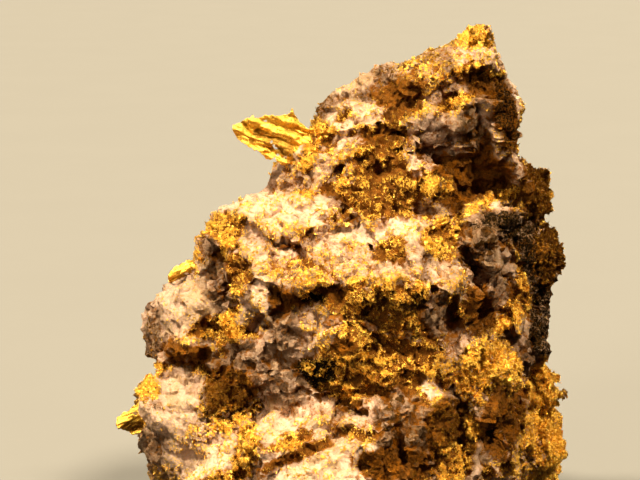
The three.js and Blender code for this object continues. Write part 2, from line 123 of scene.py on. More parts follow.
# Place across and up, half width and half height in mm, turn in degrees, finish. Later ones cover earlier.
MARKINGS = {
    "summit band": (4, 36, 13, 6, 22, "dusty"),
    "summit band top": (2, 39, 6, 2, 12, "pale"),
    "high band": (21, 45, 9, 4, 22, "weathered"),
    "high band gold": (17, 43, 4, 1.4, 20, "strewn"),
    "apex stone": (33, 47, 6, 4, 10, "cream"),
    "apex gold": (33, 51, 5, 3, 0, "gilded"),
    "dish": (20, 41.5, 4, 2, 25, "strewn"),
    "dish ridge": (28, 41.8, 7, 1.2, 22, "crusted"),
    # Painted shade under the dish ridge.
    "dark patch under the ridge": (34, 38.5, 4, 2.6, -20, "brown"),
    "brow field": (14, 35, 8, 5, 18, "stained"),
    "brow field right": (25, 36, 6, 5, 35, "cream"),
    "brow gold": (27, 34, 4, 1.6, 30, "crusted"),
    "under the summit band": (3, 31, 7, 4, 10, "white"),
    "summit band gold": (0, 31.5, 2, 1.2, 20, "crusted"),
    "lower brow": (8, 28, 7, 1.3, 6, "rusty"),
    "lower brow right": (19, 29.5, 5, 2.2, 5, "strewn"),
    "brow hollow": (11, 25.5, 6, 2.2, 8, "brown"),
    "glassy face": (23, 25.5, 7.5, 5.5, 0, "glassy"),
    "upright face": (34, 28, 5, 8, -15, "smoky"),
    "upright rib": (38.5, 24.5, 1.1, 12, 25, "white"),
    "right summit flank": (40.5, 31, 3, 9, 10, "shady"),
    "right summit edge": (44.6, 32, 0.8, 10, 6, "cream"),
    "lit splash": (28, 22.5, 1.8, 3, 10, "white"),
    "olive hollow": (30, 15, 12, 6.5, 12, "amber"),
    "olive hollow floor": (31, 11.5, 8, 2.2, 14, "amber"),
    "spur": (9, 15, 13, 8, -5, "rusty"),
    "spur crest": (9, 22.5, 8, 2.2, 14, "rusty"),
    "spur left": (-1, 19, 5, 6, -25, "strewn"),
    "spur right edge": (18, 18, 2, 5, 25, "cream"),
    "spur tip": (23, 13.5, 4.5, 3, -12, "crusted"),
    "spur foot": (12, 8, 10, 4, 0, "rusty"),
    "spur foot right": (22, 7.5, 5, 2.6, -10, "cream"),
    "left cheek": (-10, 15.5, 8, 4.5, 25, "cream"),
    "left cheek top": (-10.5, 19, 4, 2, 30, "strewn"),
    "left rim": (-8, 24, 2, 6, -15, "crusted"),
    "left white lump": (-0.5, 25, 2.2, 2, 0, "white"),
    "saddle wedge": (-8, 11.3, 3, 0.9, 0, "gilded"),
    "boss": (-12, 6.5, 16, 4.5, -4, "white"),
    "boss gold": (-1, 5, 4.5, 3, 0, "strewn"),
    "boss underside": (-11, 2.5, 5.5, 2.3, -14, "cream"),
    "boss tail": (-19, 0, 7, 3, -38, "white"),
    "saddle edge": (-31, 1.5, 6.5, 4.2, 42, "crusted"),
    "saddle edge stone": (-33.5, -1.5, 2.4, 2.6, 0, "grey"),
    "saddle slope": (-18, -6, 10, 4, -20, "cream"),
    "facet stone": (-7, -3, 4, 3.6, 0, "cream"),
    "bench left": (-8, -8, 12, 2.6, -4, "strewn"),
    "bench": (10, 2, 11, 3.6, 4, "white"),
    "bench gold": (25, 0, 5, 4.8, -8, "crusted"),
    "bench middle": (3, -3, 8, 3, -8, "cream"),
    "bench orange": (12, -2.5, 4, 3, 30, "rusty"),
    "bench rim": (12, -7.6, 15, 2.6, -3, "cream"),
    "bench rim gold": (10, -10.4, 17, 0.9, -2, "strewn"),
    "left gold fold": (-27, -8, 3.4, 4.4, 20, "rusty"),
    "shelf": (35, 9.2, 11, 1.3, 24, "gilded"),
    # Painted shade under the shelf.
    "shelf underside": (38, 3, 7, 4.5, 15, "dark"),
    "alcove": (35, -3.5, 7, 6, -25, "smoky"),
    "alcove plate": (40, -4, 3.6, 2.2, -45, "glassy"),
    # Painted shade in the alcove's corner.
    "alcove dark": (43.5, 2, 3, 5, 20, "dark"),
    "alcove floor": (39, -13, 5, 3.5, 0, "grey"),
    # Painted shade on the right flank, over stone that is dark brown.
    "right flank": (48.5, -14, 4, 22, 4, "dark"),
    "right flank gold": (45, -13, 1.3, 7, 8, "crusted"),
    "knob": (54, -4, 7, 9, 0, "shady"),
    "ear": (51, 12, 7, 9, 0, "shady"),
    "ear inside": (47.5, 12, 2.6, 7, 10, "brown"),
    "ear edge": (52.5, 12, 1.6, 5, 0, "crusted"),
    # Painted shade inside the pit.
    "pit": (34, -18, 3.8, 6, 0, "hollow"),
    "pit lit side": (41.5, -19, 3.5, 4.6, 45, "white"),
    "pit gold edge": (41, -18.5, 2, 7, -32, "gilded"),
    "striated ridge": (29.5, -17, 1.6, 12, 4, "cream"),
    "lip shadow": (6, -17, 26, 5, -3, "rusty"),
    "lip soot": (-8, -15.5, 3, 3, 15, "sooty"),
    "lip soot right": (12, -14.5, 3, 1.6, 0, "sooty"),
    "trough under the lip": (-16, -14.5, 5, 2.8, 0, "amber"),
    "middle face": (9, -26, 14, 11, 0, "rusty"),
    "middle face dark": (12, -21, 7, 6, 10, "rusty"),
    "middle left": (-8, -22, 7, 6, 10, "cream"),
    "middle left stone": (-15, -22, 4, 6, 20, "grey"),
    "middle wires": (6, -31, 8, 3.2, -8, "crusted"),
    "soot seam": (-7, -33, 6, 4, -10, "sooty"),
    # Painted shade inside the cave.
    "cave": (0, -26.5, 3.4, 1.9, 0, "hollow"),
    "middle pale pieces": (23, -19, 3.6, 5, 15, "grey"),
    "middle pale bits": (4, -20, 2.4, 1.6, 30, "strewn"),
    "middle pale bits right": (16, -17, 2.2, 1.4, -20, "strewn"),
    "middle gold bits": (14, -24, 5, 1.2, -10, "strewn"),
    "left boulder": (-38, -15, 9, 6, 0, "pale"),
    "boulder shade": (-31.5, -11, 3, 7, 10, "grey"),
    "boulder foot": (-39, -21, 7, 2.6, 0, "pale"),
    "white ridge": (-23, -17, 3.8, 8, -22, "white"),
    "trough": (-33, -21.5, 6, 2.6, 18, "rusty"),
    "trough gold": (-30, -20, 5.5, 1.3, 38, "crusted"),
    "crest": (-26, -24.5, 4.4, 3, -10, "crusted"),
    "angular stone": (-39, -27.5, 5.6, 3.2, 0, "brown"),
    "angular stone top": (-38, -25, 5, 1.2, 0, "cream"),
    "left edge": (-48, -26, 2.2, 8, 0, "dusty"),
    "smoky slope": (-22, -31, 8, 6, -20, "grey"),
    "smoky slope low": (-15, -37, 6, 4.5, 0, "grey"),
    "left bits": (-45.5, -32.3, 3, 1.8, 0, "gilded"),
    "left lumps": (-41, -37, 6.5, 5, 0, "pale"),
    "left lumps edge": (-48.5, -37.5, 2.6, 3, 0, "gilded"),
    # Painted shade in the valley, over rusty stone with gold.
    "valley": (-29, -38, 6, 6, 24, "dim"),
    "valley floor": (-29, -44, 4.5, 2.6, 20, "crusted"),
    "valley gold": (-31, -47, 3.2, 2, 0, "gilded"),
    "valley arm": (-23.5, -43, 3, 1.7, 20, "gilded"),
    "low left white": (-41, -46, 8, 4, 0, "pale"),
    "low left slope": (-37, -54, 10, 6, 10, "white"),
    "chunk": (-49, -52.5, 4.6, 5, 20, "grey"),
    "low left corner": (-46, -59, 5, 2.4, 0, "weathered"),
    "bright lump": (-17, -46.5, 7, 4, -6, "white"),
    "low middle": (0, -46.5, 9, 4, -8, "cream"),
    "low middle gold": (4, -48.5, 6, 1.6, -12, "crusted"),
    "middle crest": (-2, -38, 5, 1.6, -12, "crusted"),
    # Painted shade inside the middle cave.
    "middle cave": (1, -41, 3.6, 1.5, 10, "hollow"),
    "low ridge": (-24.5, -52.5, 2.8, 7.5, -8, "gilded"),
    "low ledge gold": (-14, -50.5, 6, 1.6, 16, "crusted"),
    "low ledge": (-12, -54, 9, 1.8, 24, "stained"),
    "low slope": (-7, -58, 11, 4, 8, "white"),
    "low slope right": (0, -55, 4.5, 4, 0, "white"),
    "smoky wall": (14, -47, 6.5, 10, 0, "smoky"),
    "smoky wall foot": (12, -56, 9, 4, 0, "brown"),
    "white chip": (22, -37, 3, 2, -30, "white"),
    "low right field": (27, -49, 6, 9, 0, "dim"),
    "low right gold": (28, -55, 4, 5, -20, "crusted"),
    "low right tuft": (32, -47, 2.4, 3.4, 20, "gilded"),
    "front gold": (36, -33, 9, 7, 30, "gilded"),
    "brown wall": (40, -46, 5.5, 10, 0, "brown"),
    "flank stone": (46, -32, 2, 6, 0, "grey"),
    "right lobe": (50.5, -36, 5, 6, 0, "gilded"),
    "right foot": (51, -50, 6, 11, 0, "gilded"),
    "right foot stone": (44.5, -54, 3, 4, 0, "strewn"),
}

# Kind, height, width and run of each form over the display face, in mm, the height before RELIEF.
# A ridge of negative height is a groove. A ledge stands out above its run and is cut in below it.
RELIEF = 1.25
FORMS = {
    "lip": ("ledge", 1.1, 4.2, [(-17.2, -11.5), (-11, -13), (-6.5, -11), (-3, -10.7), (0.2, -12.5),
                                (4, -10.7), (10.2, -12.7), (14, -11.2), (17.7, -14), (21.5, -12.2),
                                (26.5, -11.7)]),
    "lower brow": ("ledge", 1.0, 3.5, [(-2, 26), (3, 27), (8, 28.4), (12, 27.6), (17, 28.4), (21, 30)]),
    "upper brow": ("ledge", 0.7, 3, [(21, 30), (26, 31.6), (30, 33.5)]),
    "dish rim": ("ridge", 1.3, 1.8, [(21, 38), (24, 41), (28, 43), (31, 44.3), (35, 44.8), (38, 42)]),
    "dish rim shade": ("ridge", -0.7, 2.4, [(27, 40.5), (31, 41.5), (35, 41)]),
    "glassy slab": ("ridge", 3.2, 7, [(20, 27), (25, 26), (31, 24.5)]),
    "alcove slab": ("ridge", 5.0, 6.5, [(34, -1), (35, -6), (35, -12)]),
    "brown wall slab": ("ridge", 4.6, 6, [(37, -40), (37, -46), (38, -54)]),
    "upright edge": ("ridge", 3.4, 2.2, [(33, 36), (36.5, 31.5), (38.5, 26.2), (39.7, 22.5), (41.5, 18.5),
                                         (44, 12.5)]),
    "upright hollow": ("ridge", 2.6, 3, [(31.5, 34.5), (33, 32.5)]),
    "upright groove": ("ridge", -1.6, 1.6, [(40, 31), (41.5, 24), (43.5, 18)]),
    "spur crest": ("ledge", 1.2, 3, [(3, 21), (7, 22.5), (12, 24.2), (17, 23)]),
    "spur horn": ("ridge", 1.4, 1.2, [(17, 17), (20, 17.5), (22, 15.5)]),
    "spur tip": ("ridge", 1.6, 1.2, [(20, 13), (24, 14.5), (27.5, 11)]),
    "shelf": ("ridge", 1.4, 2.2, [(24, 5), (29, 6.5), (34, 9), (38, 11), (43, 12.5)]),
    "shelf underside": ("ridge", -2.6, 2.6, [(31, 2.5), (36, 5), (41, 8), (44, 7)]),
    "alcove edge": ("ridge", 1.6, 1.1, [(31, 1), (34, 3), (37, 0), (40, -4), (43, -8)]),
    "alcove right": ("ridge", 1.4, 1.0, [(38, 2.5), (41, -1), (43.5, -4)]),
    "alcove ridge": ("ridge", 1.3, 0.9, [(33, -6.5), (37, -4.5), (40, -6), (42.5, -11)]),
    "alcove plate": ("ledge", 1.2, 2.5, [(33, -3), (36, -6), (39, -8)]),
    "alcove sill": ("ridge", 1.0, 0.9, [(30, -9.5), (34, -9), (37, -7)]),
    "striated ridge": ("ridge", 1.2, 1.2, [(27, -5), (29, -9), (29, -14), (30, -22), (29, -28)]),
    "striated ridge right": ("ridge", 0.9, 0.9, [(30.8, -10), (31.8, -18), (33, -24)]),
    "boss rim": ("ridge", -1.4, 1.2, [(-3, 10), (-0.5, 7), (2.5, 4.6), (4.5, 3)]),
    "boss": ("ledge", 1.3, 4, [(-25, 4.8), (-20, 2), (-17, 0.2), (-12, 1.5), (-7, 2.6), (-2, 3)]),
    "facet": ("ledge", 1.4, 3, [(-11, -2), (-9, -4.6), (-5, -6), (-2, -5)]),
    "boulder edge": ("ridge", 1.3, 1.3, [(-35.5, -5), (-33.5, -10), (-31.5, -14), (-29.5, -17)]),
    "boulder groove": ("ridge", -1.3, 1.2, [(-32, -6), (-31, -10), (-29, -15)]),
    "white ridge": ("ridge", 2.6, 4, [(-20, -9), (-24, -13), (-27, -18), (-25.5, -24)]),
    "trough rim": ("ledge", 1.2, 2.4, [(-38, -22), (-33, -20.5), (-29, -17)]),
    "trough": ("ridge", -1.8, 1.6, [(-36, -23), (-31.5, -22.6), (-28, -19.5)]),
    "angular stone": ("ridge", 2.0, 2.8, [(-42, -27.5), (-36.5, -27)]),
    "angular stone foot": ("ridge", -2.0, 1.1, [(-44, -31.5), (-41, -30.9), (-37, -31), (-34, -32.6)]),
    "crest": ("ridge", 1.2, 1.2, [(-29, -23), (-25, -26.8), (-22, -25)]),
    "fold": ("ridge", 1.0, 1.0, [(-20, -18), (-17, -22), (-15, -26)]),
    "middle swell": ("ridge", 2.6, 9, [(-3, -21), (6, -22), (17, -21)]),
    "cave edge": ("ridge", 1.2, 0.9, [(-4, -25.5), (-1, -23.4), (3, -24)]),
    "cave": ("ridge", -2.2, 1.9, [(-2, -26.8), (2, -26.4)]),
    "middle crest": ("ledge", 1.3, 2.4, [(-8, -38), (-3, -38.8), (1, -39.4), (4, -41)]),
    "middle cave": ("ridge", -1.8, 1.4, [(-1, -41.2), (3, -41)]),
    "valley left": ("ridge", -1.4, 1.4, [(-34, -33.5), (-35, -40), (-34, -45)]),
    "valley right": ("ridge", -1.2, 1.4, [(-27, -35.5), (-24.5, -39.5), (-26.5, -43)]),
    "low ridge": ("ridge", 1.5, 1.8, [(-24.5, -46), (-23, -50), (-25, -55), (-29, -60)]),
    "low slope": ("ridge", 3.0, 6, [(-16, -64), (-8, -62.5), (2, -61)]),
    "low ledge": ("ridge", -1.0, 1.5, [(-18, -58), (-13, -55.4), (-8, -52.6), (-3, -50.6)]),
    "low lumps": ("ledge", 1.2, 2.6, [(-2, -48), (2, -46.6), (6, -49), (10, -48)]),
    "smoky wall left": ("ridge", 1.0, 1.2, [(9, -40), (11, -46), (9.5, -53), (6, -60)]),
    "smoky wall right": ("ridge", 1.0, 1.2, [(17, -41), (16, -47), (18, -54)]),
    "front gold edge": ("ledge", 1.6, 3.5, [(35, -45), (36, -40), (40, -35.5), (44.5, -32)]),
    "pit slab": ("ridge", 3.6, 4.5, [(40, -17), (42, -20)]),
    "pit edge": ("ridge", 1.8, 1.8, [(44.5, -11), (43, -16), (40.5, -20), (36.5, -24.5)]),
    "flank groove": ("ridge", -1.0, 0.8, [(47, -5), (48, -18), (47, -30)]),
    "flank groove right": ("ridge", -0.9, 0.8, [(49.5, -8), (50, -24)]),
    "brown wall edge": ("ridge", 1.1, 1.2, [(35, -50), (38, -54), (42, -60)]),
}


def pairs(points):
    """Each point of a run with the one after it."""
    return zip(points[:-1], points[1:])


def smooth_step(low, high, value):
    """0 up to low, 1 from high on, and smooth in between."""
    share = np.clip((value - low) / (high - low), 0, 1)
    return share * share * (3 - 2 * share)


def on_face(points):
    """Where points in mm lie on the display face: (across, up)."""
    x, y, z = (points[:, i] - FACE_CENTRE[i] for i in range(3))
    depth = EYE_REACH + y * math.cos(EYE_HEIGHT) - z * math.sin(EYE_HEIGHT)
    up = y * math.sin(EYE_HEIGHT) + z * math.cos(EYE_HEIGHT)
    return np.stack([FACE_CENTRE[0] + EYE_REACH * x / depth, EYE_REACH * up / depth], axis=1)


def facing(normals):
    """1 where the skin looks to the front, 0 where it looks away."""
    towards = -normals[:, 1] * math.cos(EYE_HEIGHT) + normals[:, 2] * math.sin(EYE_HEIGHT)
    return smooth_step(-0.25, 0.1, towards)


def ellipse_distance(x, y, centre_x, centre_y, half_x, half_y, turn):
    """How far places lie from the middle of an ellipse turned by some degrees: 1 is its rim."""
    angle = math.radians(turn)
    along = (x - centre_x) * math.cos(angle) + (y - centre_y) * math.sin(angle)
    across = (y - centre_y) * math.cos(angle) - (x - centre_x) * math.sin(angle)
    return np.hypot(along / half_x, across / half_y)


# ---------------------------------------------------------------- steady noise

# Large odd numbers that turn a cell of space and a seed into a whole number of its own, and then stir its
# bits. Each use of the noise has a seed of its own, so that no two patterns fall together.
CELL_FACTORS = (73856093, 19349663, 83492791, 2654435)
STIR_STEP = 0x9E3779B9
STIR_FACTOR = 0x45D9F3B
ALL_BITS = 0xFFFFFFFF

# Brings clouds to about -1 to 1.
CLOUD_GAIN = 1.8


def cell_numbers(cell, seed, count):
    """Steady random numbers from 0 to 1 for whole-numbered cells of space."""
    x, y, z = (cell[:, i].astype(np.int64) for i in range(3))
    key = (x * CELL_FACTORS[0]) ^ (y * CELL_FACTORS[1]) ^ (z * CELL_FACTORS[2]) ^ (seed * CELL_FACTORS[3])
    numbers = []
    for turn in range(count):
        value = (key + turn * STIR_STEP) & ALL_BITS
        for _ in range(2):
            value = ((value ^ (value >> 16)) * STIR_FACTOR) & ALL_BITS
        numbers.append((value ^ (value >> 16)) / ALL_BITS)
    return np.stack(numbers, axis=1)


def cloud(points, size, seed):
    """Smooth noise of about -1 to 1 with features of the given size."""
    place = points / size
    base = np.floor(place)
    part = place - base
    blend = part * part * (3 - 2 * part)
    total = np.zeros(len(points))
    for corner in itertools.product((0, 1), repeat=3):
        slope = cell_numbers(base + corner, seed, 3) * 2 - 1
        share = np.prod(np.where(corner, blend, 1 - blend), axis=1)
        total += share * ((part - corner) * slope).sum(axis=1)
    return total * CLOUD_GAIN


def chips(points, size, seed):
    """Flat broken faces: each random cell is a plane of its own slope and height."""
    place = points / size
    base = np.floor(place)
    nearest = np.full(len(points), np.inf)
    height = np.zeros(len(points))
    for corner in itertools.product((-1, 0, 1), repeat=3):
        numbers = cell_numbers(base + corner, seed, 7)
        away = place - base - corner - numbers[:, :3]
        distance = (away * away).sum(axis=1)
        plane = (away * (numbers[:, 3:6] * 2 - 1)).sum(axis=1) + numbers[:, 6] * 0.5 - 0.25
        closer = distance < nearest
        height = np.where(closer, plane, height)
        nearest = np.minimum(nearest, distance)
    return height


def wandering(places, points, seed, *waves):
    """Places on the display face, shifted by noise with each wave's size and reach in mm."""
    shift = np.zeros((len(points), 2))
    for size, reach in waves:
        shift += np.stack([cloud(points, size, seed), cloud(points, size, seed + 1)], axis=1) * reach
        seed += 2
    return places + shift


# ---------------------------------------------------------------- mesh helpers

# Points closer than this, in metres, are one.
MERGE_DISTANCE = 1e-5

# Rays that feel how open the skin lies: their number, their start and reach in mm, and how flat they go.
RAYS = 14
RAY_START = 0.25
RAY_REACH = 14
RAY_SPREAD = 0.93
GOLDEN_ANGLE = 2.39996


def points_of(mesh):
    """A mesh's points in mm."""
    flat = np.empty(len(mesh.vertices) * 3)
    mesh.vertices.foreach_get("co", flat)
    return flat.reshape(-1, 3) / MM


def normals_of(mesh):
    """A mesh's point normals."""
    flat = np.empty(len(mesh.vertices) * 3, dtype=np.float32)
    mesh.vertex_normals.foreach_get("vector", flat)
    return flat.reshape(-1, 3).astype(float)


def move_points(mesh, points):
    """Puts a mesh's points at places in mm, kept inside the CAD box."""
    low = np.array(CAD_BOX[0]) / MM
    high = np.array(CAD_BOX[1]) / MM
    mesh.vertices.foreach_set("co", (np.clip(points, low, high) * MM).ravel())
    mesh.update()


def paint(mesh, name, values):
    """Keeps one number for each point of a mesh."""
    layer = mesh.attributes.new(name, "FLOAT", "POINT")
    layer.data.foreach_set("value", np.asarray(values, dtype=np.float32))


def paint_levels(mesh, levels):
    """Keeps the gold, rust, soot and smoke of each point of a mesh."""
    for name, values in zip(LEVELS, levels.T):
        paint(mesh, name, values)


def smoothed(mesh, values, rounds, share=1.0):
    """Values of the points, each drawn towards the mean of its neighbours a number of times."""
    ends = np.empty(len(mesh.edges) * 2, dtype=np.int64)
    mesh.edges.foreach_get("vertices", ends)
    first, second = ends.reshape(-1, 2).T
    size = len(mesh.vertices)
    count = np.maximum(np.bincount(first, minlength=size) + np.bincount(second, minlength=size), 1)
    for _ in range(rounds):
        total = []
        for part in values.T:
            total.append(np.bincount(first, part[second], size) + np.bincount(second, part[first], size))
        values = values + (np.stack(total, axis=1) / count[:, None] - values) * share
    return values


def ray_fan():
    """Directions spread evenly over the open side, for a skin that faces up."""
    turns = (np.arange(RAYS) + 0.5) / RAYS
    rise = np.sqrt(1 - turns * RAY_SPREAD)
    out = np.sqrt(1 - rise ** 2)
    ring = np.arange(RAYS) * GOLDEN_ANGLE
    return np.stack([np.cos(ring) * out, np.sin(ring) * out, rise], axis=1)


def skin_tree(mesh):
    """A mesh's faces, ready for rays and for the nearest place on them, in metres."""
    corners = (points_of(mesh) * MM).tolist()
    return BVHTree.FromPolygons(corners, [tuple(face.vertices) for face in mesh.polygons])


def openness(mesh):
    """How open each point lies, from 0 deep in a hollow to 1 in the open."""
    points, normals = points_of(mesh), normals_of(mesh)
    cast = skin_tree(mesh).ray_cast
    side = np.cross(normals, np.where(np.abs(normals[:, 2:]) < 0.8, (0, 0, 1), (1, 0, 0)))
    side /= np.linalg.norm(side, axis=1)[:, None]
    up = np.cross(normals, side)
    starts = [Vector(place) for place in (points + normals * RAY_START) * MM]
    free = np.zeros(len(points))
    for across, along, rise in ray_fan():
        rays = side * across + up * along + normals * rise
        free += [cast(start, Vector(ray), RAY_REACH * MM)[0] is None for start, ray in zip(starts, rays)]
    return free / RAYS


def new_object(name, data):
    """An object for a mesh, a lamp or a camera, at the origin, in the scene."""
    piece = bpy.data.objects.new(name, data)
    bpy.context.scene.collection.objects.link(piece)
    return piece


def bake_modifiers(piece):
    """Turns a piece with its modifiers into a plain mesh."""
    graph = bpy.context.evaluated_depsgraph_get()
    graph.update()
    mesh = bpy.data.meshes.new_from_object(piece.evaluated_get(graph))
    piece.modifiers.clear()
    piece.data = mesh
    mesh.name = piece.name
    return mesh


def even_copy(node, name, grain):
    """A closed copy of a frame node, its triangles joined and made even."""
    mesh = frame["nodes"][node].data.copy()
    form = bmesh.new()
    form.from_mesh(mesh)
    bmesh.ops.remove_doubles(form, verts=form.verts, dist=MERGE_DISTANCE)
    form.to_mesh(mesh)
    form.free()
    mesh.materials.clear()
    piece = new_object(name, mesh)
    even = piece.modifiers.new("Even skin", "REMESH")
    even.mode = "VOXEL"
    even.voxel_size = grain * MM
    bake_modifiers(piece)
    return piece


def finish_piece(piece, material, slot, *nodes):
    """Gives a piece its material and its place in the frame."""
    piece.data.materials.clear()
    piece.data.materials.append(material)
    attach(piece, "root")
    if nodes:
        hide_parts(*nodes)


# ---------------------------------------------------------------- materials

QUARTZ_IOR = 1.54


def add(tree, kind, inputs=None, **settings):
    """One node with its settings, its constants and its links."""
    node = tree.nodes.new(kind)
    for key, value in settings.items():
        setattr(node, key, value)
    for key, value in (inputs or {}).items():
        if isinstance(value, bpy.types.NodeSocket):
            tree.links.new(value, node.inputs[key])
        else:
            node.inputs[key].default_value = value
    return node


def millimetres(tree):
    """Object coordinates in mm."""
    place = add(tree, "ShaderNodeTexCoord").outputs["Object"]
    scale = (MM_IN_METRE,) * 3
    return add(tree, "ShaderNodeMapping", {"Vector": place, "Scale": scale}).outputs[0]


def texture(tree, place, size, detail=4.0, roughness=0.55, warp=0.0):
    """Noise with features of a size in mm, about 0.5 in the middle."""
    node = add(
        tree, "ShaderNodeTexNoise",
        {"Vector": place, "Scale": 1 / size, "Detail": detail, "Roughness": roughness, "Distortion": warp},
    )
    return node.outputs[0]


def vector_maths(tree, operation, first, second):
    """The node of one sum with vectors."""
    return add(tree, "ShaderNodeVectorMath", {0: first, 1: second}, operation=operation)


def warped_by(tree, place, size, reach):
    """The place with a random shift of up to about half a reach in mm each way."""
    noise = add(tree, "ShaderNodeTexNoise", {"Vector": place, "Scale": 1 / size, "Detail": 2.0})
    middle = vector_maths(tree, "SUBTRACT", noise.outputs["Color"], (0.5,) * 3)
    shift = add(tree, "ShaderNodeVectorMath", {0: middle.outputs[0], "Scale": reach * 2}, operation="SCALE")
    return vector_maths(tree, "ADD", place, shift.outputs[0]).outputs[0]


def maths(tree, operation, *values, clamp=False):
    """One sum."""
    node = add(tree, "ShaderNodeMath", dict(enumerate(values)), operation=operation, use_clamp=clamp)
    return node.outputs[0]


def weighed(tree, *parts):
    """The sum of some values, each times its weight. A first weight of 1 needs no node."""
    value, weight = parts[0]
    total = value if weight == 1 else maths(tree, "MULTIPLY", value, weight)
    for value, weight in parts[1:]:
        total = maths(tree, "MULTIPLY_ADD", value, weight, total)
    return total


def level(tree, name):
    """A number that the mesh keeps for each of its points."""
    return add(tree, "ShaderNodeAttribute", attribute_name=name).outputs["Fac"]


def spread(tree, value, low, high, to_low=0.0, to_high=1.0):
    """A value from low to high, smoothly spread over another range."""
    node = add(
        tree, "ShaderNodeMapRange",
        {"Value": value, "From Min": low, "From Max": high, "To Min": to_low, "To Max": to_high},
        interpolation_type="SMOOTHSTEP",
    )
    return node.outputs[0]


def blend(tree, share, first, second):
    """Two colours mixed by a share."""
    node = tree.nodes.new("ShaderNodeMix")
    node.data_type = "RGBA"
    for socket, value in ((node.inputs[0], share), (node.inputs[6], first), (node.inputs[7], second)):
        if isinstance(value, bpy.types.NodeSocket):
            tree.links.new(value, socket)
        else:
            socket.default_value = value
    return node.outputs[2]


def colour(value):
    """A colour with full opacity."""
    return (*value[:3], 1.0)


def new_material(name):
    """An empty material, its tree and its surface shader."""
    material = bpy.data.materials.new(name)
    material.use_nodes = True
    tree = material.node_tree
    return material, tree, tree.nodes["Principled BSDF"]


def facets(tree, place, size):
    """Flat crystal faces of a size in mm: their height in mm, and a number of each face's own."""
    cells = add(tree, "ShaderNodeTexVoronoi", {"Vector": place, "Scale": 1 / size}, feature="F1")
    away = vector_maths(tree, "SUBTRACT", place, cells.outputs["Position"])
    lean = vector_maths(tree, "SUBTRACT", cells.outputs["Color"], (0.5,) * 3)
    height = vector_maths(tree, "DOT_PRODUCT", away.outputs[0], lean.outputs[0])
    own = add(tree, "ShaderNodeSeparateColor", {0: cells.outputs["Color"]}).outputs[1]
    return height.outputs["Value"], own


def gold_colour(tree, place, gold):
    """Dark pores, with painted shade where the gold lies closed in, deep orange between, and bright yellow
    on the tips.
    """
    broad = maths(tree, "MULTIPLY", texture(tree, place, 8, 2), 0.4)
    mottle = maths(tree, "ADD", texture(tree, place, 1.0, 5, 0.8), broad)
    tip = spread(tree, mottle, 0.47, 0.71)
    bright = blend(tree, tip, colour(gold.deep_colour), colour(gold.bright_colour))
    # Places that lie closed in get more dark pores: painted shade.
    painted_shade_lift = maths(tree, "MULTIPLY", level(tree, "open"), 0.24)
    pores = maths(tree, "ADD", texture(tree, place, 0.7, 3, 0.7), painted_shade_lift)
    fresh = blend(tree, spread(tree, pores, 0.46, 0.56), colour(gold.pore_tarnish_and_shade_colour), bright)
    tarnish = maths(tree, "MULTIPLY_ADD", mottle, 0.4, level(tree, "smoke"))
    return blend(tree, spread(tree, tarnish, 0.45, 1.0, 0.0, 0.85), fresh, colour(gold.pore_tarnish_and_shade_colour))


def gold_material(gold):
    """Hackly native gold."""
    material, tree, shader = new_material("Native gold")
    place = millimetres(tree)
    rough = texture(tree, place, 0.55, 5, 0.75)
    relief = add(tree, "ShaderNodeBump", {"Height": rough, "Strength": 0.9, "Distance": 0.4 * MM})
    values = {
        "Base Color": gold_colour(tree, place, gold),
        "Roughness": spread(tree, rough, 0.3, 0.7, gold.roughness - 0.08, gold.roughness + 0.14),
        "Normal": relief.outputs[0],
    }
    for key, value in values.items():
        tree.links.new(value, shader.inputs[key])
    shader.inputs["Metallic"].default_value = 1.0
    return material


def ore_grain(tree, place):
    """The textures of the stone: veils, crystal blocks and sugary grain, each with its relief in mm."""
    warped = warped_by(tree, place, 2.5, 0.9)
    block, block_own = facets(tree, warped, 2.1)
    sugar, sugar_own = facets(tree, warped, 0.85)
    return SimpleNamespace(
        warped=warped, block=block, block_own=block_own, sugar=sugar, sugar_own=sugar_own,
        broad=texture(tree, place, 8, 5, 0.6), veil=texture(tree, place, 2.2, 6, 0.7),
        fine=texture(tree, place, 0.6, 4, 0.7),
    )


def ore_stains(tree, grain):
    """Where the stone is smoky, rusty, sooty and gilded, each from 0 to 1."""
    cloudy = spread(tree, weighed(tree, (grain.veil, 0.9), (grain.block_own, 0.7)), 0.5, 1.0, 0.30, 1.0)
    rusty = weighed(
        tree, (level(tree, "rust"), 1), (grain.veil, 0.8), (grain.fine, 1.0), (grain.sugar_own, 0.4),
    )
    sooty = weighed(tree, (level(tree, "soot"), 1), (grain.fine, 2.2))
    gilded = weighed(tree, (level(tree, "gold"), 1), (grain.fine, 3.0), (grain.veil, 1.0))
    return SimpleNamespace(
        smoke=maths(tree, "MULTIPLY", level(tree, "smoke"), cloudy),
        rust=spread(tree, rusty, 1.32, 1.80, 0.0, 0.96),
        soot=spread(tree, sooty, 1.6, 1.8),
        gilt=spread(tree, gilded, 2.66, 2.78),
    )


def ore_colour(tree, grain, stains, quartz):
    """Milky to veiled quartz under its smoke and rust, brown between the grains, with specks of soot."""
    milky = weighed(tree, (grain.broad, 0.7), (grain.veil, 0.35), (grain.block_own, 0.18))
    milk = spread(tree, milky, 0.44, 0.66)
    stone = blend(tree, milk, colour(quartz.veil_colour), colour(quartz.milk_colour))
    stone = blend(tree, stains.smoke, stone, colour(quartz.smoke_colour))
    stone = blend(tree, stains.rust, stone, colour(quartz.rust_colour))
    gaps = weighed(
        tree, (grain.sugar_own, 0.35), (grain.block_own, 0.25), (grain.fine, 0.6), (grain.veil, 0.5),
        (level(tree, "rust"), -0.35),
    )
    stone = blend(tree, spread(tree, gaps, 0.42, 0.68, 0.25, 1.0), colour(quartz.crevice_colour), stone)
    return blend(tree, stains.soot, stone, colour(quartz.soot_colour))


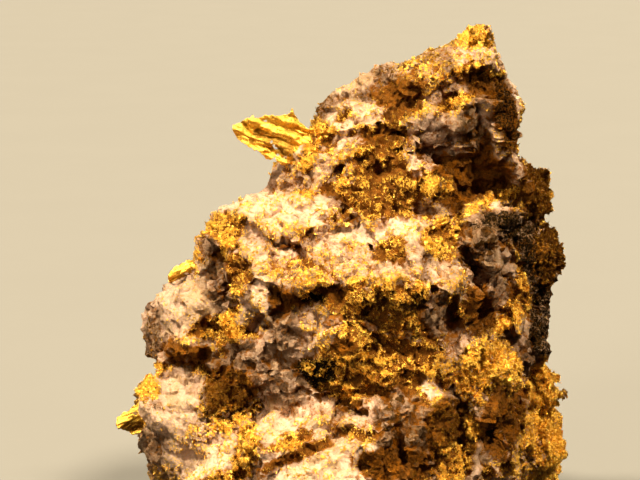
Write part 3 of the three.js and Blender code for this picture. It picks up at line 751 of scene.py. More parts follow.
def ore_relief(tree, grain, gilt):
    """Crystal faces, grain, upright streaks in the smoky stone and hackles on the gold."""
    upright = add(tree, "ShaderNodeMapping", {"Vector": grain.warped, "Scale": (1.0, 1.0, 0.16)}).outputs[0]
    streak = maths(tree, "MULTIPLY", texture(tree, upright, 0.8, 4, 0.65), level(tree, "smoke"))
    ruffle = maths(tree, "SUBTRACT", texture(tree, grain.warped, 1.0, 3, 0.6), 0.5)
    hackle = maths(tree, "MULTIPLY", maths(tree, "ABSOLUTE", ruffle), gilt)
    height = weighed(
        tree, (grain.block, 0.7), (grain.block_own, 0.5), (grain.sugar, 0.7), (grain.sugar_own, 0.2),
        (grain.fine, 0.5), (grain.veil, 0.7), (gilt, 0.25), (streak, 1.6), (hackle, -6.0),
    )
    worn = weighed(tree, (level(tree, "rust"), 1), (level(tree, "gold"), 0.6), (level(tree, "smoke"), 0.5))
    coarse = spread(tree, worn, 0.1, 0.8, 0.6, 1.0)
    bump = add(tree, "ShaderNodeBump", {"Height": height, "Strength": coarse, "Distance": 1.0 * MM})
    return bump.outputs[0]


def ore_material(name, quartz, gold):
    """Milky quartz, smoky and rusty in places, with brown crevices, specks of soot and native gold."""
    material, tree, shader = new_material(name)
    place = millimetres(tree)
    grain = ore_grain(tree, place)
    stains = ore_stains(tree, grain)
    stone = ore_colour(tree, grain, stains, quartz)
    covered = maths(tree, "MAXIMUM", stains.rust, stains.gilt)
    dull = maths(tree, "MAXIMUM", stains.soot, maths(tree, "MAXIMUM", stains.rust, stains.smoke))
    values = {
        "Base Color": blend(tree, stains.gilt, stone, gold_colour(tree, place, gold)),
        "Metallic": stains.gilt,
        "Roughness": spread(tree, grain.veil, 0.3, 0.7, quartz.roughness - 0.12, quartz.roughness + 0.15),
        "Normal": ore_relief(tree, grain, stains.gilt),
        "Subsurface Weight": maths(tree, "MULTIPLY", maths(tree, "SUBTRACT", 1.0, covered), quartz.glow),
        "Specular IOR Level": spread(tree, dull, 0.0, 0.8, 0.5, 0.05),
    }
    for key, value in values.items():
        tree.links.new(value, shader.inputs[key])
    shader.inputs["Subsurface Radius"].default_value = (1.0, 0.6, 0.3)
    shader.inputs["Subsurface Scale"].default_value = 0.6 * MM
    shader.inputs["IOR"].default_value = QUARTZ_IOR
    return material


def floor_material(stage):
    """A plain pale floor with a faint unevenness."""
    material, tree, shader = new_material("Pale floor")
    place = millimetres(tree)
    mottle = texture(tree, place, 60, 3)
    pale = colour(stage.floor_colour)
    darker = colour([part * 0.96 for part in stage.floor_colour])
    tree.links.new(blend(tree, mottle, darker, pale), shader.inputs["Base Color"])
    shader.inputs["Roughness"].default_value = 0.9
    shader.inputs["Specular IOR Level"].default_value = 0.1
    return material


def shared_material(name):
    """The quartz or the gold, made once for all the pieces."""
    nugget = bpy.context.scene.nugget
    names = {"quartz": "Gold-bearing quartz", "crust": "Stained gold crust", "gold": "Native gold"}
    found = bpy.data.materials.get(names[name])
    if found:
        return found
    if name == "gold":
        return gold_material(nugget.gold)
    return ore_material(names[name], nugget.quartz, nugget.gold)


# ---------------------------------------------------------------- settings

class QuartzSettings(bpy.types.PropertyGroup):
    """Sizes and colours of the quartz."""

    grain: FloatProperty(
        name="Skin grain", description="Edge of the skin's even squares, in mm", default=0.62, min=0.3
    )
    chip_depth: FloatProperty(
        name="Chip depth", description="Depth of the broken faces, in mm", default=1.0, min=0
    )
    faces: IntProperty(name="Faces", description="Most triangles in the skin", default=190000)
    roughness: FloatProperty(
        name="Roughness", description="Middle roughness", default=0.42, subtype="FACTOR"
    )
    glow: FloatProperty(name="Glow", description="How milky the stone is", default=0.2, subtype="FACTOR")
    milk_colour: FloatVectorProperty(
        name="Milk", description="White quartz", size=3, subtype="COLOR", default=(0.59, 0.405, 0.31)
    )
    veil_colour: FloatVectorProperty(
        name="Veil", description="Greyish veils", size=3, subtype="COLOR", default=(0.42, 0.285, 0.175)
    )
    smoke_colour: FloatVectorProperty(
        name="Smoke", description="Smoky quartz", size=3, subtype="COLOR", default=(0.082, 0.043, 0.014)
    )
    rust_colour: FloatVectorProperty(
        name="Rust", description="Iron stain", size=3, subtype="COLOR", default=(0.23, 0.085, 0.006)
    )
    crevice_colour: FloatVectorProperty(
        name="Crevice", description="Brown between the quartz grains", size=3, subtype="COLOR",
        default=(0.15, 0.066, 0.014),
    )
    soot_colour: FloatVectorProperty(
        name="Soot", description="Dark specks", size=3, subtype="COLOR", default=(0.020, 0.012, 0.004)
    )


class GoldSettings(bpy.types.PropertyGroup):
    """Sizes and colours of the gold."""

    grain: FloatProperty(name="Crust grain", description="Edge of the crusts' squares, in mm", default=0.4)
    hackle: FloatProperty(name="Hackle", description="Depth of the crusts' roughness, in mm", default=1.4)
    smallest: FloatProperty(name="Smallest grain", description="Length in mm", default=0.35)
    largest: FloatProperty(name="Largest grain", description="Length in mm", default=0.95)
    density: FloatProperty(name="Grains", description="Grains on a square mm of full cover", default=7.0)
    roughness: FloatProperty(
        name="Roughness", description="Middle roughness", default=0.30, subtype="FACTOR"
    )
    bright_colour: FloatVectorProperty(
        name="Bright", description="Gold on the tips", size=3, subtype="COLOR", default=(1.0, 0.68, 0.15)
    )
    deep_colour: FloatVectorProperty(
        name="Deep", description="Gold in the folds", size=3, subtype="COLOR", default=(0.72, 0.29, 0.018)
    )
    # Dark gold of the pores and the tarnish, and painted shade on gold that lies deep in hollows.
    pore_tarnish_and_shade_colour: FloatVectorProperty(
        name="Hollow", description="Stained gold deep in a hollow", size=3, subtype="COLOR",
        default=(0.15, 0.048, 0.004),
    )


class StageSettings(bpy.types.PropertyGroup):
    """Floor, light and camera."""

    floor_colour: FloatVectorProperty(
        name="Floor", description="Colour of the floor", size=3, subtype="COLOR", default=(0.20, 0.20, 0.20)
    )
    key: FloatProperty(name="Key light", description="Strength of the key light", default=6.0)
    top: FloatProperty(name="Top light", description="Strength of the second light from above", default=4.8)
    fill: FloatProperty(name="Fill light", description="Strength of the fill light", default=1.15)
    back: FloatProperty(name="Back light", description="Strength of the weak light from behind", default=0.9)
    sky: FloatProperty(name="Sky", description="Strength of the light all round", default=0.09)
    lens: FloatProperty(name="Lens", description="Focal length in mm", default=100)


class NuggetSettings(bpy.types.PropertyGroup):
    """All the settings of the nugget."""

    quartz: PointerProperty(name="Quartz", description="The quartz", type=QuartzSettings)
    gold: PointerProperty(name="Gold", description="The gold", type=GoldSettings)
    stage: PointerProperty(name="Stage", description="The stage", type=StageSettings)


# ---------------------------------------------------------------- quartz

# How far a ledge is cut in below its run, beside its height and its width.
UNDERCUT_DEPTH = 0.9
UNDERCUT_WIDTH = 1.4
RIDGE_SHARPNESS = 1.3
SHARP_EDGE = math.radians(34)

# Rounds of smoothing that the crests and the edges of the skin stand out from.
CREST_ROUNDS = 14
EDGE_ROUNDS = 4


def off_run(face, run):
    """How far places lie from a run in mm, and on which side of it: 1 above it, -1 below."""
    nearest = np.full(len(face), np.inf)
    side = np.zeros(len(face))
    for start, end in pairs(run):
        start, end = np.array(start, float), np.array(end, float)
        along = end - start
        share = np.clip(((face - start) @ along) / (along @ along), 0, 1)
        away = face - start - share[:, None] * along
        distance = np.hypot(away[:, 0], away[:, 1])
        closer = distance < nearest
        upward = along[0] * away[:, 1] - along[1] * away[:, 0]
        side = np.where(closer, np.sign(upward), side)
        nearest = np.minimum(nearest, distance)
    return nearest, side


def run_height(face, kind, height, width, run):
    """What one form adds to each point of the display face, in mm."""
    nearest, side = off_run(face, run)
    if kind == "ledge":
        above = np.clip(1 - nearest / width, 0, 1)
        below = -UNDERCUT_DEPTH * np.clip(1 - nearest / (UNDERCUT_WIDTH * width), 0, 1)
        return height * (below + (above - below) * smooth_step(-0.5, 0.5, side * nearest))
    return height * np.clip(1 - nearest / width, 0, 1) ** RIDGE_SHARPNESS


def formed(points, normals):
    """Adds the ledges, ridges and grooves of the display face."""
    face = wandering(on_face(points), points, 11, (5, 0.8), (1.6, 0.45))
    height = RELIEF * sum(run_height(face, *form) for form in FORMS.values())
    return points + normals * (height * facing(normals))[:, None]


def levels_of(points, normals):
    """Gold, rust, soot and smoke of each point: marked on the display face, and like it all round.

    The plain stone has patches of gold with rust, a few sooty spots, and smoky zones away from the gold.
    """
    patch = smooth_step(-0.1, 0.5, cloud(points, 13, 21) + 0.5 * cloud(points, 5, 22))
    smoky = smooth_step(0.0, 0.5, cloud(points, 17, 23) + 0.4 * cloud(points, 6, 24))
    gold = 0.16 + 0.5 * patch
    rust = 0.22 + 0.6 * patch * smooth_step(-0.3, 0.4, cloud(points, 7, 25))
    soot = 0.04 + 0.5 * smooth_step(0.35, 0.6, cloud(points, 6, 26))
    smoke = 0.05 + 0.75 * smoky * (1 - patch)
    levels = np.stack([gold, rust, soot, smoke], axis=1)
    face = wandering(on_face(points), points, 31, (4, 1.1), (1.3, 0.7))
    front = facing(normals)
    for *ellipse, finish in MARKINGS.values():
        distance = ellipse_distance(face[:, 0], face[:, 1], *ellipse)
        share = (1 - smooth_step(0.8, 1.25, distance)) * front
        levels += (np.array(FINISHES[finish]) - levels) * share[:, None]
    return levels


def above_base(points, low, high):
    """0 up to one height over the cut base, and 1 from another on, in mm."""
    return smooth_step(low, high, points[:, 2])


def broken_skin(points, levels):
    """How far the broken faces stand out, in mm, and how rough the skin is, from 0 to 1, at each point."""
    gold, rust, _, smoke = levels.T
    warped = points + np.stack([cloud(points, 3, seed) for seed in (41, 42, 43)], axis=1) * 0.8
    faces = 1.3 * chips(warped, 7.5, 44) + 1.2 * chips(warped, 3.6, 45)
    fine = 0.55 * chips(points, 1.8, 46) + 0.3 * cloud(points, 1.8, 50)
    hackly = 0.6 * cloud(points, 1.6, 47) + 0.5 * chips(points, 1.1, 48)
    swell = 0.6 * cloud(points, 9, 49)
    rough = np.clip(gold + 0.7 * rust - 0.5 * smoke * (gold < 0.25), 0, 1)
    faces *= 0.85 + 0.35 * np.maximum(rough, smoke)
    height = faces + fine * (0.7 + 0.4 * rough) + 1.2 * hackly * rough + swell
    return height, rough


def worn_smooth(mesh, points, rough, smoke):
    """The points, smoothed where the stone is neither rough nor smoky."""
    crisp = np.maximum(smooth_step(0.2, 0.8, rough), smooth_step(0.3, 0.8, smoke))
    soft = smoothed(mesh, points, 2, 0.6)
    return points + (soft - points) * (0.55 - 0.5 * crisp)[:, None]


def thin_out(piece, most):
    """Brings a piece down to a number of triangles, and back inside the CAD box."""
    faces = len(piece.data.polygons) * 2
    if faces > most:
        thin = piece.modifiers.new("Fewer faces", "DECIMATE")
        thin.ratio = most / faces
        bake_modifiers(piece)
        move_points(piece.data, points_of(piece.data))


def standing_out(mesh, points, normals, rounds):
    """How far each point stands out from its smoothed surroundings, in mm."""
    return ((points - smoothed(mesh, points, rounds)) * normals).sum(axis=1)


def settled_and_shaded_levels(levels, open_air, crest, edge):
    """The levels with more rust in hollows, creases and sunken edges, partly as iron stain and partly as
    painted shade, and more gold on crests and edges.
    """
    shade = 1 - smooth_step(0.25, 0.85, open_air)
    bearing = smooth_step(0.15, 0.5, levels[:, GOLD])
    stained = 0.2 + 0.8 * smooth_step(0.1, 0.6, levels[:, RUST])
    # Rust where the rays find the skin closed in is painted shade; in creases and sunken edges it is partly
    # iron stain, partly painted shade.
    rust_and_painted_shade = 0.35 * shade + 0.3 * smooth_step(0.0, 0.6, -crest) + 0.35 * smooth_step(0.0, 0.2, -edge)
    raised = 0.16 * smooth_step(0.05, 0.5, crest) + 0.20 * smooth_step(0.02, 0.2, edge)
    levels[:, RUST] += stained * rust_and_painted_shade
    levels[:, GOLD] += bearing * raised
    levels[:, GOLD] -= 0.18 * bearing * smooth_step(0.02, 0.2, -edge)
    return np.clip(levels, 0, 1)


def grain_cover(points, normals, gold, edge):
    """How thickly gold grains lie: in clumps, most on raised places and on the display face."""
    clumps = cloud(points, 1.7, 51) + 0.6 * cloud(points, 0.8, 52) + (gold - 0.55) * 1.1
    raised = 0.25 + 0.75 * smooth_step(-0.08, 0.12, edge)
    front = 0.3 + 0.7 * facing(normals)
    return gold ** 1.6 * smooth_step(0.05, 0.35, clumps) * raised * front * above_base(points, 0.5, 1.5)


def shape_stone(mesh, chip_depth):
    """Adds the forms of the display face, and the broken faces all round."""
    points, normals = points_of(mesh), normals_of(mesh)
    move_points(mesh, formed(points, normals))
    points, normals = points_of(mesh), normals_of(mesh)
    levels = levels_of(points, normals)
    height, rough = broken_skin(points, levels)
    height *= chip_depth * above_base(points, 0, 3)
    move_points(mesh, worn_smooth(mesh, points + normals * height[:, None], rough, levels[:, SMOKE]))


def paint_stone(mesh):
    """Keeps the levels of each point, with painted shade in its rust where it lies closed in, how open it
    lies, which the gold's colour turns into painted shade, and how thickly grains cover it.
    """
    points, normals = points_of(mesh), normals_of(mesh)
    open_air = openness(mesh)
    crest = standing_out(mesh, points, normals, CREST_ROUNDS)
    edge = standing_out(mesh, points, normals, EDGE_ROUNDS)
    levels = settled_and_shaded_levels(levels_of(points, normals), open_air, crest, edge)
    paint_levels(mesh, levels)
    paint(mesh, "open", open_air)
    paint(mesh, "cover", grain_cover(points, normals, levels[:, GOLD], edge))


class NUGGET_OT_quartz(bpy.types.Operator):
    """Builds the quartz lump with its broken faces and its levels of gold, rust, soot and smoke"""

    bl_idname = "nugget.quartz"
    bl_label = "Quartz"

    def execute(self, context):
        settings = context.scene.nugget.quartz
        stone = even_copy("quartz", "quartz_lump", settings.grain)
        shape_stone(stone.data, settings.chip_depth)
        thin_out(stone, settings.faces)
        paint_stone(stone.data)
        stone.data.shade_smooth()
        stone.data.set_sharp_from_angle(angle=SHARP_EDGE)
        finish_piece(stone, shared_material("quartz"), "quartz", "quartz")
        return {"FINISHED"}


# ---------------------------------------------------------------- crusts

CRUSTS = ("gold_summit_cap", "gold_ear", "gold_knob", "gold_front", "gold_right_foot", "gold_valley")


def crust_height(points, seed):
    """How far each point of a crust stands out, for a hackle of 1 mm."""
    stretched = points * (1, 1, 0.55)
    height = 1.1 * chips(stretched, 2.6, 60 + seed) + 0.8 * chips(stretched, 1.3, 70 + seed)
    height += 0.5 * cloud(points, 1.1, 80 + seed) + 0.8 * cloud(points, 4, 90 + seed)
    return height


def crust_cover(points, gold, stone):
    """How thickly gold grains lie on a crust: not where it dips into the quartz."""
    clear = np.array([stone.find_nearest(Vector(point * MM))[3] for point in points]) / MM
    return 0.7 * gold * smooth_step(0.3, 1.2, clear)


class NUGGET_OT_crusts(bpy.types.Operator):
    """Builds the thick crusts of hackly gold"""

    bl_idname = "nugget.crusts"
    bl_label = "Gold crusts"

    def execute(self, context):
        settings = context.scene.nugget.gold
        stone = skin_tree(bpy.data.objects["quartz_lump"].data)
        for seed, node in enumerate(CRUSTS):
            crust = even_copy(node, node + "_skin", settings.grain)
            points, normals = points_of(crust.data), normals_of(crust.data)
            height = settings.hackle * crust_height(points, seed)
            move_points(crust.data, points + normals * height[:, None])
            points, normals = points_of(crust.data), normals_of(crust.data)
            levels = levels_of(points, normals)
            levels[:, GOLD] = 0.55 + 0.45 * levels[:, GOLD]
            paint_levels(crust.data, levels)
            # Openness drives painted shade in the gold's colour; raised on the crusts, it paints them
            # lighter.
            paint(crust.data, "open", np.clip(1.3 * openness(crust.data), 0, 1.2))
            paint(crust.data, "cover", crust_cover(points, levels[:, GOLD], stone))
            crust.data.shade_flat()
            finish_piece(crust, shared_material("crust"), "gold", node)
        return {"FINISHED"}


# ---------------------------------------------------------------- leaves
# Each station is a place along the leaf with its low and high edge, in mm. Depth is how far back its left
# end stands, and lean how far it goes back with each mm. Folds have a width and a depth, holes a middle and
# half sizes, and the stain is the patch of painted shade on the leaf: an ellipse with its turn in degrees.

LEAVES = {
    "gold_leaf": {
        "stations": [(-27.3, 114.2, 115.4), (-26.2, 112, 115.7), (-25.3, 111.3, 116.1),
                     (-24.1, 110.7, 117), (-22.6, 109.6, 117.6), (-21.2, 109, 116.9),
                     (-20.5, 108.6, 117.2), (-19.3, 107.1, 117.9),
                     (-18, 106.6, 117.7), (-17.2, 107.6, 117.7), (-16.4, 106.4, 117.5), (-15.1, 105, 117.7),
                     (-13.3, 105.8, 118), (-12.8, 106.2, 119.4), (-12.3, 106.4, 118), (-10.9, 107.4, 115.7),
                     (-9, 109.6, 114.4), (-7.6, 111, 114.3)],
        "depth": -3.4, "lean": 0.10, "folds": (1.7, 0.45), "fold_slope": -0.4,
        "holes": [(-17.9, 111.2, 0.35, 0.5), (-17.3, 110.2, 0.35, 0.6), (-16.8, 109.4, 0.4, 0.5),
                  (-16.4, 107.8, 0.5, 0.35), (-14.6, 107.2, 0.45, 0.4), (-13.4, 107.9, 0.3, 0.25),
                  (-19.4, 116.4, 0.5, 0.25), (-14, 115.8, 0.4, 0.15)],
        "stain": (-16.5, 110.6, 8, 1.9, -32),
    },
    "gold_flap": {
        "stations": [(-43.8, 75, 77.6), (-43, 75.8, 79), (-42, 76.2, 79.8), (-40.4, 77, 80.4),
                     (-39, 77.4, 81), (-37.6, 78.2, 81.2), (-36.6, 78.6, 82)],
        "depth": -2.4, "lean": 0.0, "folds": (1.8, 0.5), "fold_slope": 0.5, "holes": [(-39.2, 78, 0.7, 0.3)],
        "stain": (-39.5, 77.5, 3, 1, 30),
    },
    "gold_curl": {
        "stations": [(-56.7, 40.9, 42.6), (-55.8, 40, 43), (-55, 39.3, 44), (-53.6, 38.7, 44.2),
                     (-52.8, 38.3, 45.4), (-51.4, 38.6, 46.2), (-50.2, 39, 46), (-48.4, 40, 45.6)],
        "depth": -9.4, "lean": 0.0, "folds": (3.2, 1.1), "fold_slope": 0.35, "holes": [(-52, 44, 0.6, 0.3)],
        "stain": (-52, 40.5, 4, 1.4, 0),
    },
}

# Width of a leaf's squares in mm, their height as a share of it, and the thickness of the leaf in mm.
LEAF_STEP = 0.18
LEAF_ROW = 1.3
LEAF_THICKNESS = 0.28


def leaf_folds(leaf, flat, seed):
    """How far the folds, the drawn grain and the dents of a leaf take its points back, in mm."""
    x, z = flat[:, 0], flat[:, 2]
    width, depth = leaf["folds"]
    slanted = z - leaf["fold_slope"] * x
    across = (slanted + 0.8 * cloud(flat, 5, 121 + seed)) / width
    y = leaf["depth"] + leaf["lean"] * (x - x[0]) + depth * (np.abs(across % 2 - 1) * 2 - 1)
    grain = np.stack([x * 0.25, x * 0, slanted], axis=1)
    y += 0.55 * cloud(grain, 0.6, 131 + seed) + 0.9 * cloud(flat, 4, 141 + seed)
    drawn = grain * (1.8, 1, 1)
    y += 0.45 * cloud(drawn, 0.9, 171 + seed) + 0.7 * chips(drawn, 2.0, 181 + seed)
    return y


def leaf_unbroken(leaf, middle, seed):
    """Which squares of a leaf are there, by their middles: the rest are its holes and tears."""
    keep = cloud(middle * (0.5, 1, 1), 1.5, 151 + seed) < 1.25
    for hole in leaf["holes"]:
        keep &= ellipse_distance(middle[:, 0], middle[:, 2], *hole, 0) + 0.5 * cloud(middle, 0.7, 161) > 1
    return keep


def leaf_sheet(leaf, seed):
    """The points of a crumpled leaf in mm, and its squares."""
    stations = np.array(leaf["stations"])
    span = stations[-1, 0] - stations[0, 0]
    tallest = (stations[:, 2] - stations[:, 1]).max()
    columns = int(span / LEAF_STEP)
    rows = int(tallest / LEAF_STEP / LEAF_ROW)
    steps = np.linspace(0, 1, columns + 1), np.linspace(0, 1, rows + 1)
    along, rise = np.meshgrid(*steps, indexing="ij")
    x = (stations[0, 0] + span * along).ravel()
    line = np.stack([x, x * 0, x * 0], axis=1)
    low = np.interp(x, stations[:, 0], stations[:, 1]) + 0.5 * cloud(line, 0.7, 101 + seed)
    high = np.interp(x, stations[:, 0], stations[:, 2]) + 0.4 * cloud(line, 0.6, 111 + seed)
    z = low + (high - low) * rise.ravel()
    flat = np.stack([x, x * 0, z], axis=1)
    index = np.arange((columns + 1) * (rows + 1)).reshape(columns + 1, rows + 1)
    corners = (index[:-1, :-1], index[1:, :-1], index[1:, 1:], index[:-1, 1:])
    quads = np.stack(corners, axis=-1).reshape(-1, 4)
    keep = leaf_unbroken(leaf, flat[quads].mean(axis=1), seed)
    return np.stack([x, leaf_folds(leaf, flat, seed), z], axis=1), quads[keep]


def paint_leaf_shade(mesh, leaf, seed):
    """Paints shade on the stain patch of a leaf through its smoke, and darkens it in random patches through
    its openness.
    """
    points = points_of(mesh)
    distance = ellipse_distance(points[:, 0], points[:, 2], *leaf["stain"])
    distance += 0.5 * cloud(points, 1.6, 191 + seed)
    # Painted shade on the lower middle of the leaf, through the gold's tarnish.
    paint(mesh, "smoke", 0.52 * (1 - smooth_step(0.6, 1.15, distance)))
    paint(mesh, "open", 1 - 0.4 * smooth_step(0, 0.5, cloud(points, 1.2, 201 + seed)))


class NUGGET_OT_leaves(bpy.types.Operator):
    """Builds the crumpled leaves of gold that stand off the quartz"""

    bl_idname = "nugget.leaves"
    bl_label = "Gold leaves"

    def execute(self, context):
        for seed, (node, leaf) in enumerate(LEAVES.items()):
            points, quads = leaf_sheet(leaf, seed)
            mesh = bpy.data.meshes.new(node)
            mesh.from_pydata(points * MM, [], quads.tolist())
            piece = new_object(node + "_sheet", mesh)
            wall = piece.modifiers.new("Thickness", "SOLIDIFY")
            wall.thickness = LEAF_THICKNESS * MM
            wall.offset = 0
            mesh = bake_modifiers(piece)
            move_points(mesh, points_of(mesh))
            mesh.shade_smooth()
            paint_leaf_shade(mesh, leaf, seed)
            finish_piece(piece, shared_material("gold"), "gold", node)
        return {"FINISHED"}


# ---------------------------------------------------------------- grains

# Length, width and thickness of each shape of grain, for a length of about 1.
GRAIN_SHAPES = {
    "nub": (0.7, 0.6, 0.5),
    "wire": (1.9, 0.3, 0.26),
    "wire_bent": (1.7, 0.34, 0.4),
    "ribbon": (1.8, 0.6, 0.14),
    "flake": (1.15, 0.95, 0.16),
    "blade": (1.6, 0.75, 0.14),
}

GRAIN_CORNERS = ((1, 0, 0), (0, 1, 0), (-1, 0, 0), (0, -1, 0), (0, 0, 1), (0, 0, -1))
WIRE_BEND = 0.35

# Heights in metres that part the grains of the quartz into pieces, and heights that hold a whole crust.
GRAIN_BANDS = (0.0, 0.055, 0.085, 0.2)
ALL_HEIGHTS = (-1.0, 1.0)
SQUARE_MM_IN_SQUARE_METRE = 1e6

# Seeds of the grains' shapes, and of the first piece of grains on the quartz and on the crusts.
SHAPE_SEED = 7
QUARTZ_SEED = 200
CRUST_SEED = 300


def grain_shapes(name, seed):
    """A collection of small rough shapes, each a metre long before it is scaled."""
    shapes = bpy.data.collections.new(name)
    bpy.context.scene.collection.children.link(shapes)
    random = np.random.default_rng(seed)
    for shape, size in GRAIN_SHAPES.items():
        form = bmesh.new()
        corners = [form.verts.new(corner) for corner in GRAIN_CORNERS]
        for first, second in pairs([*corners[:4], corners[0]]):
            form.faces.new((first, second, corners[4]))
            form.faces.new((second, first, corners[5]))
        for vert in form.verts:
            vert.co *= random.uniform(0.35, 0.65)
            vert.co += Vector(random.uniform(-0.12, 0.12, 3))
            vert.co = Vector([part * scale for part, scale in zip(vert.co, size)])
            if shape == "wire_bent":
                vert.co.z += WIRE_BEND * vert.co.x * vert.co.x
        mesh = bpy.data.meshes.new(shape)
        form.to_mesh(mesh)
        form.free()
        shapes.objects.link(bpy.data.objects.new(shape, mesh))
    return shapes


def strewing_group():
    """A group of Geometry Nodes with its sockets, and no nodes yet."""
    tree = bpy.data.node_groups.new("Strewn grains", "GeometryNodeTree")
    face = tree.interface
    face.new_socket("Geometry", in_out="OUTPUT", socket_type="NodeSocketGeometry")
    face.new_socket("Surface", in_out="INPUT", socket_type="NodeSocketGeometry")
    for name, kind in (
        ("Shapes", "Collection"), ("Density", "Float"), ("Smallest", "Float"), ("Largest", "Float"),
        ("From height", "Float"), ("To height", "Float"), ("Seed", "Int"), ("Finish", "Material"),
    ):
        face.new_socket(name, in_out="INPUT", socket_type="NodeSocket" + kind)
    return tree


def grain_places(tree, given):
    """Random places on a surface, thick where its cover is high, and between two heights."""
    cover = add(tree, "GeometryNodeInputNamedAttribute", {"Name": "cover"}, data_type="FLOAT").outputs[0]
    place = add(tree, "GeometryNodeInputPosition").outputs[0]
    height = add(tree, "ShaderNodeSeparateXYZ", {0: place}).outputs[2]
    above = maths(tree, "GREATER_THAN", height, given["From height"])
    below = maths(tree, "LESS_THAN", height, given["To height"])
    inside = maths(tree, "MULTIPLY", above, below)
    density = maths(tree, "MULTIPLY", maths(tree, "MULTIPLY", cover, given["Density"]), inside)
    scatter = add(
        tree, "GeometryNodeDistributePointsOnFaces",
        {"Mesh": given["Surface"], "Density": density, "Seed": given["Seed"]},
        distribute_method="RANDOM",
    )
    return scatter.outputs["Points"]


def strewing_nodes():
    """Geometry Nodes that strew grains of random shape, turn and size over a surface."""
    tree = strewing_group()
    given = tree.nodes.new("NodeGroupInput").outputs
    places = grain_places(tree, given)
    turn = add(
        tree, "FunctionNodeRandomValue", {"Min": (0, 0, 0), "Max": (math.tau,) * 3, "Seed": given["Seed"]},
        data_type="FLOAT_VECTOR",
    )
    size = add(
        tree, "FunctionNodeRandomValue", {2: given["Smallest"], 3: given["Largest"], "Seed": given["Seed"]},
        data_type="FLOAT",
    )
    shapes = add(
        tree, "GeometryNodeCollectionInfo",
        {"Collection": given["Shapes"], "Separate Children": True, "Reset Children": True},
    )
    grains = add(
        tree, "GeometryNodeInstanceOnPoints",
        {"Points": places, "Instance": shapes.outputs[0], "Pick Instance": True,
         "Rotation": turn.outputs[0], "Scale": size.outputs[1]},
    )
    real = add(tree, "GeometryNodeRealizeInstances", {"Geometry": grains.outputs[0]}).outputs[0]
    finished = add(tree, "GeometryNodeSetMaterial", {"Geometry": real, "Material": given["Finish"]})
    add(tree, "NodeGroupOutput", {0: finished.outputs[0]})
    return tree


def strew(name, surface, tree, values):
    """Makes one piece of gold grains, strewn over a surface."""
    piece = new_object(name, surface.data.copy())
    nodes = piece.modifiers.new("Strewn grains", "NODES")
    nodes.node_group = tree
    for socket in tree.interface.items_tree:
        if socket.in_out == "INPUT" and socket.name in values:
            nodes[socket.identifier] = values[socket.name]
    mesh = bake_modifiers(piece)
    if not mesh.polygons:
        raise RuntimeError(f"{name}: no grains were strewn")
    move_points(mesh, points_of(mesh))
    mesh.shade_flat()
    finish_piece(piece, values["Finish"], "gold")


class NUGGET_OT_grains(bpy.types.Operator):
    """Strews gold grains, wires and flakes over the quartz and the crusts"""

    bl_idname = "nugget.grains"
    bl_label = "Gold grains"

    def execute(self, context):
        settings = context.scene.nugget.gold
        tree = strewing_nodes()
        shapes = grain_shapes("Grain shapes", SHAPE_SEED)
        common = {
            "Shapes": shapes, "Finish": shared_material("gold"),
            "Density": settings.density * SQUARE_MM_IN_SQUARE_METRE,
            "Smallest": settings.smallest * MM, "Largest": settings.largest * MM,
        }
        fields = [
            (f"gold_grains_{number + 1}", "quartz_lump", QUARTZ_SEED + number, band)
            for number, band in enumerate(pairs(GRAIN_BANDS))
        ]
        fields += [
            (node + "_grains", node + "_skin", CRUST_SEED + number, ALL_HEIGHTS)
            for number, node in enumerate(CRUSTS)
        ]
        for name, surface, seed, (low, high) in fields:
            own = {"Seed": seed, "From height": low, "To height": high}
            strew(name, bpy.data.objects[surface], tree, common | own)
        for shape in list(shapes.objects):
            bpy.data.objects.remove(shape)
        bpy.data.collections.remove(shapes)
        return {"FINISHED"}


# ---------------------------------------------------------------- stage

# Where each light comes from, and how wide it looks in degrees.
LAMPS = {
    "key": ((-0.42, -0.27, 0.87), 8),
    "top": ((0.42, -0.45, 0.79), 10),
    "fill": ((-0.6, -0.75, 0.38), 14),
    "back": ((0.30, 0.85, 0.42), 14),
}
LAMP_COLOUR = (1.0, 0.85, 0.60)
SKY_COLOUR = (1.0, 0.86, 0.66, 1.0)
FLOOR_RADIUS = 12
SENSOR_WIDTH = 36


def lay_floor(settings):
    """A wide round floor that throws no light up at the stone."""
    form = bmesh.new()
    bmesh.ops.create_circle(form, cap_ends=True, segments=96, radius=FLOOR_RADIUS)
    mesh = bpy.data.meshes.new("floor")
    form.to_mesh(mesh)
    form.free()
    mesh.materials.append(floor_material(settings))
    floor = new_object("floor", mesh)
    floor.visible_diffuse = False
    floor.visible_glossy = False


def hang_lamps(settings):
    """The suns, each turned to the middle of the floor."""
    for name, (place, width) in LAMPS.items():
        lamp = bpy.data.lights.new(name, "SUN")
        lamp.energy = getattr(settings, name)
        lamp.angle = math.radians(width)
        lamp.color = LAMP_COLOUR
        light = new_object(name, lamp)
        light.location = place
        light.rotation_euler = (-Vector(place)).to_track_quat("-Z", "Y").to_euler()


def light_room(scene, settings):
    """The light all round, and the contrast that the scene is shown with."""
    world = bpy.data.worlds.new("Soft room")
    world.use_nodes = True
    background = world.node_tree.nodes["Background"]
    background.inputs["Color"].default_value = SKY_COLOUR
    background.inputs["Strength"].default_value = settings.sky
    scene.world = world
    scene.view_settings.view_transform = "Standard"
    scene.view_settings.look = "Medium High Contrast"


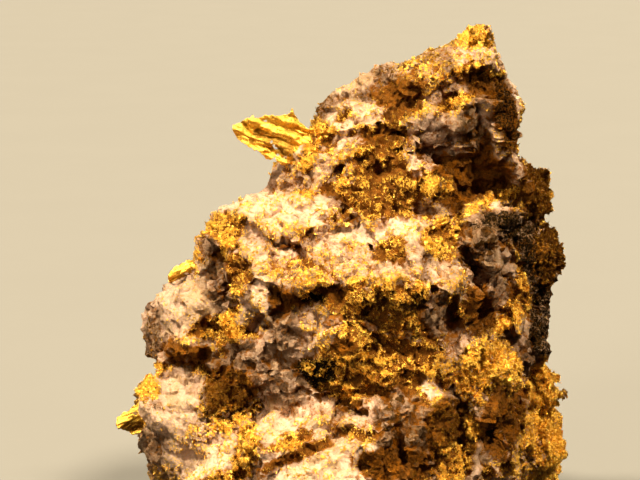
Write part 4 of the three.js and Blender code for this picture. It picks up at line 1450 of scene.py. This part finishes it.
def set_camera(scene, settings):
    """The camera, square to the middle of the display face."""
    camera = bpy.data.cameras.new("camera")
    camera.lens = settings.lens
    camera.sensor_width = SENSOR_WIDTH
    camera.clip_start = 0.01
    eye = new_object("camera", camera)
    back = Vector((0, -math.cos(EYE_HEIGHT), math.sin(EYE_HEIGHT)))
    eye.location = (Vector(FACE_CENTRE) + back * EYE_REACH) * MM
    eye.rotation_euler = (-back).to_track_quat("-Z", "Y").to_euler()
    scene.camera = eye


class NUGGET_OT_stage(bpy.types.Operator):
    """Lays the pale floor and sets the lights and the camera"""

    bl_idname = "nugget.stage"
    bl_label = "Stage"

    def execute(self, context):
        settings = context.scene.nugget.stage
        lay_floor(settings)
        hang_lamps(settings)
        light_room(context.scene, settings)
        set_camera(context.scene, settings)
        return {"FINISHED"}


# ---------------------------------------------------------------- panel and registration

class VIEW3D_PT_nugget(bpy.types.Panel):
    """Lists the nugget's operators and settings"""

    bl_label = "Gold nugget"
    bl_space_type = "VIEW_3D"
    bl_region_type = "UI"
    bl_category = "Nugget"

    def draw(self, context):
        for operator in OPERATORS:
            self.layout.operator(operator.bl_idname)
        nugget = context.scene.nugget
        for group in (nugget.quartz, nugget.gold, nugget.stage):
            box = self.layout.box()
            for name in group.bl_rna.properties.keys():
                if name not in ("rna_type", "name"):
                    box.prop(group, name)


SETTINGS = (QuartzSettings, GoldSettings, StageSettings, NuggetSettings)
OPERATORS = (NUGGET_OT_quartz, NUGGET_OT_crusts, NUGGET_OT_leaves, NUGGET_OT_grains, NUGGET_OT_stage)


def register():
    """Adds the classes and the scene's settings."""
    for item in (*SETTINGS, *OPERATORS, VIEW3D_PT_nugget):
        bpy.utils.register_class(item)
    bpy.types.Scene.nugget = PointerProperty(type=NuggetSettings)


def unregister():
    """Takes them away again."""
    del bpy.types.Scene.nugget
    for item in reversed((*SETTINGS, *OPERATORS, VIEW3D_PT_nugget)):
        bpy.utils.unregister_class(item)


def main():
    """Builds the nugget piece by piece."""
    register()
    bpy.ops.nugget.quartz()
    bpy.ops.nugget.crusts()
    bpy.ops.nugget.leaves()
    bpy.ops.nugget.grains()
    bpy.ops.nugget.stage()


if __name__ == "__main__":
    main()
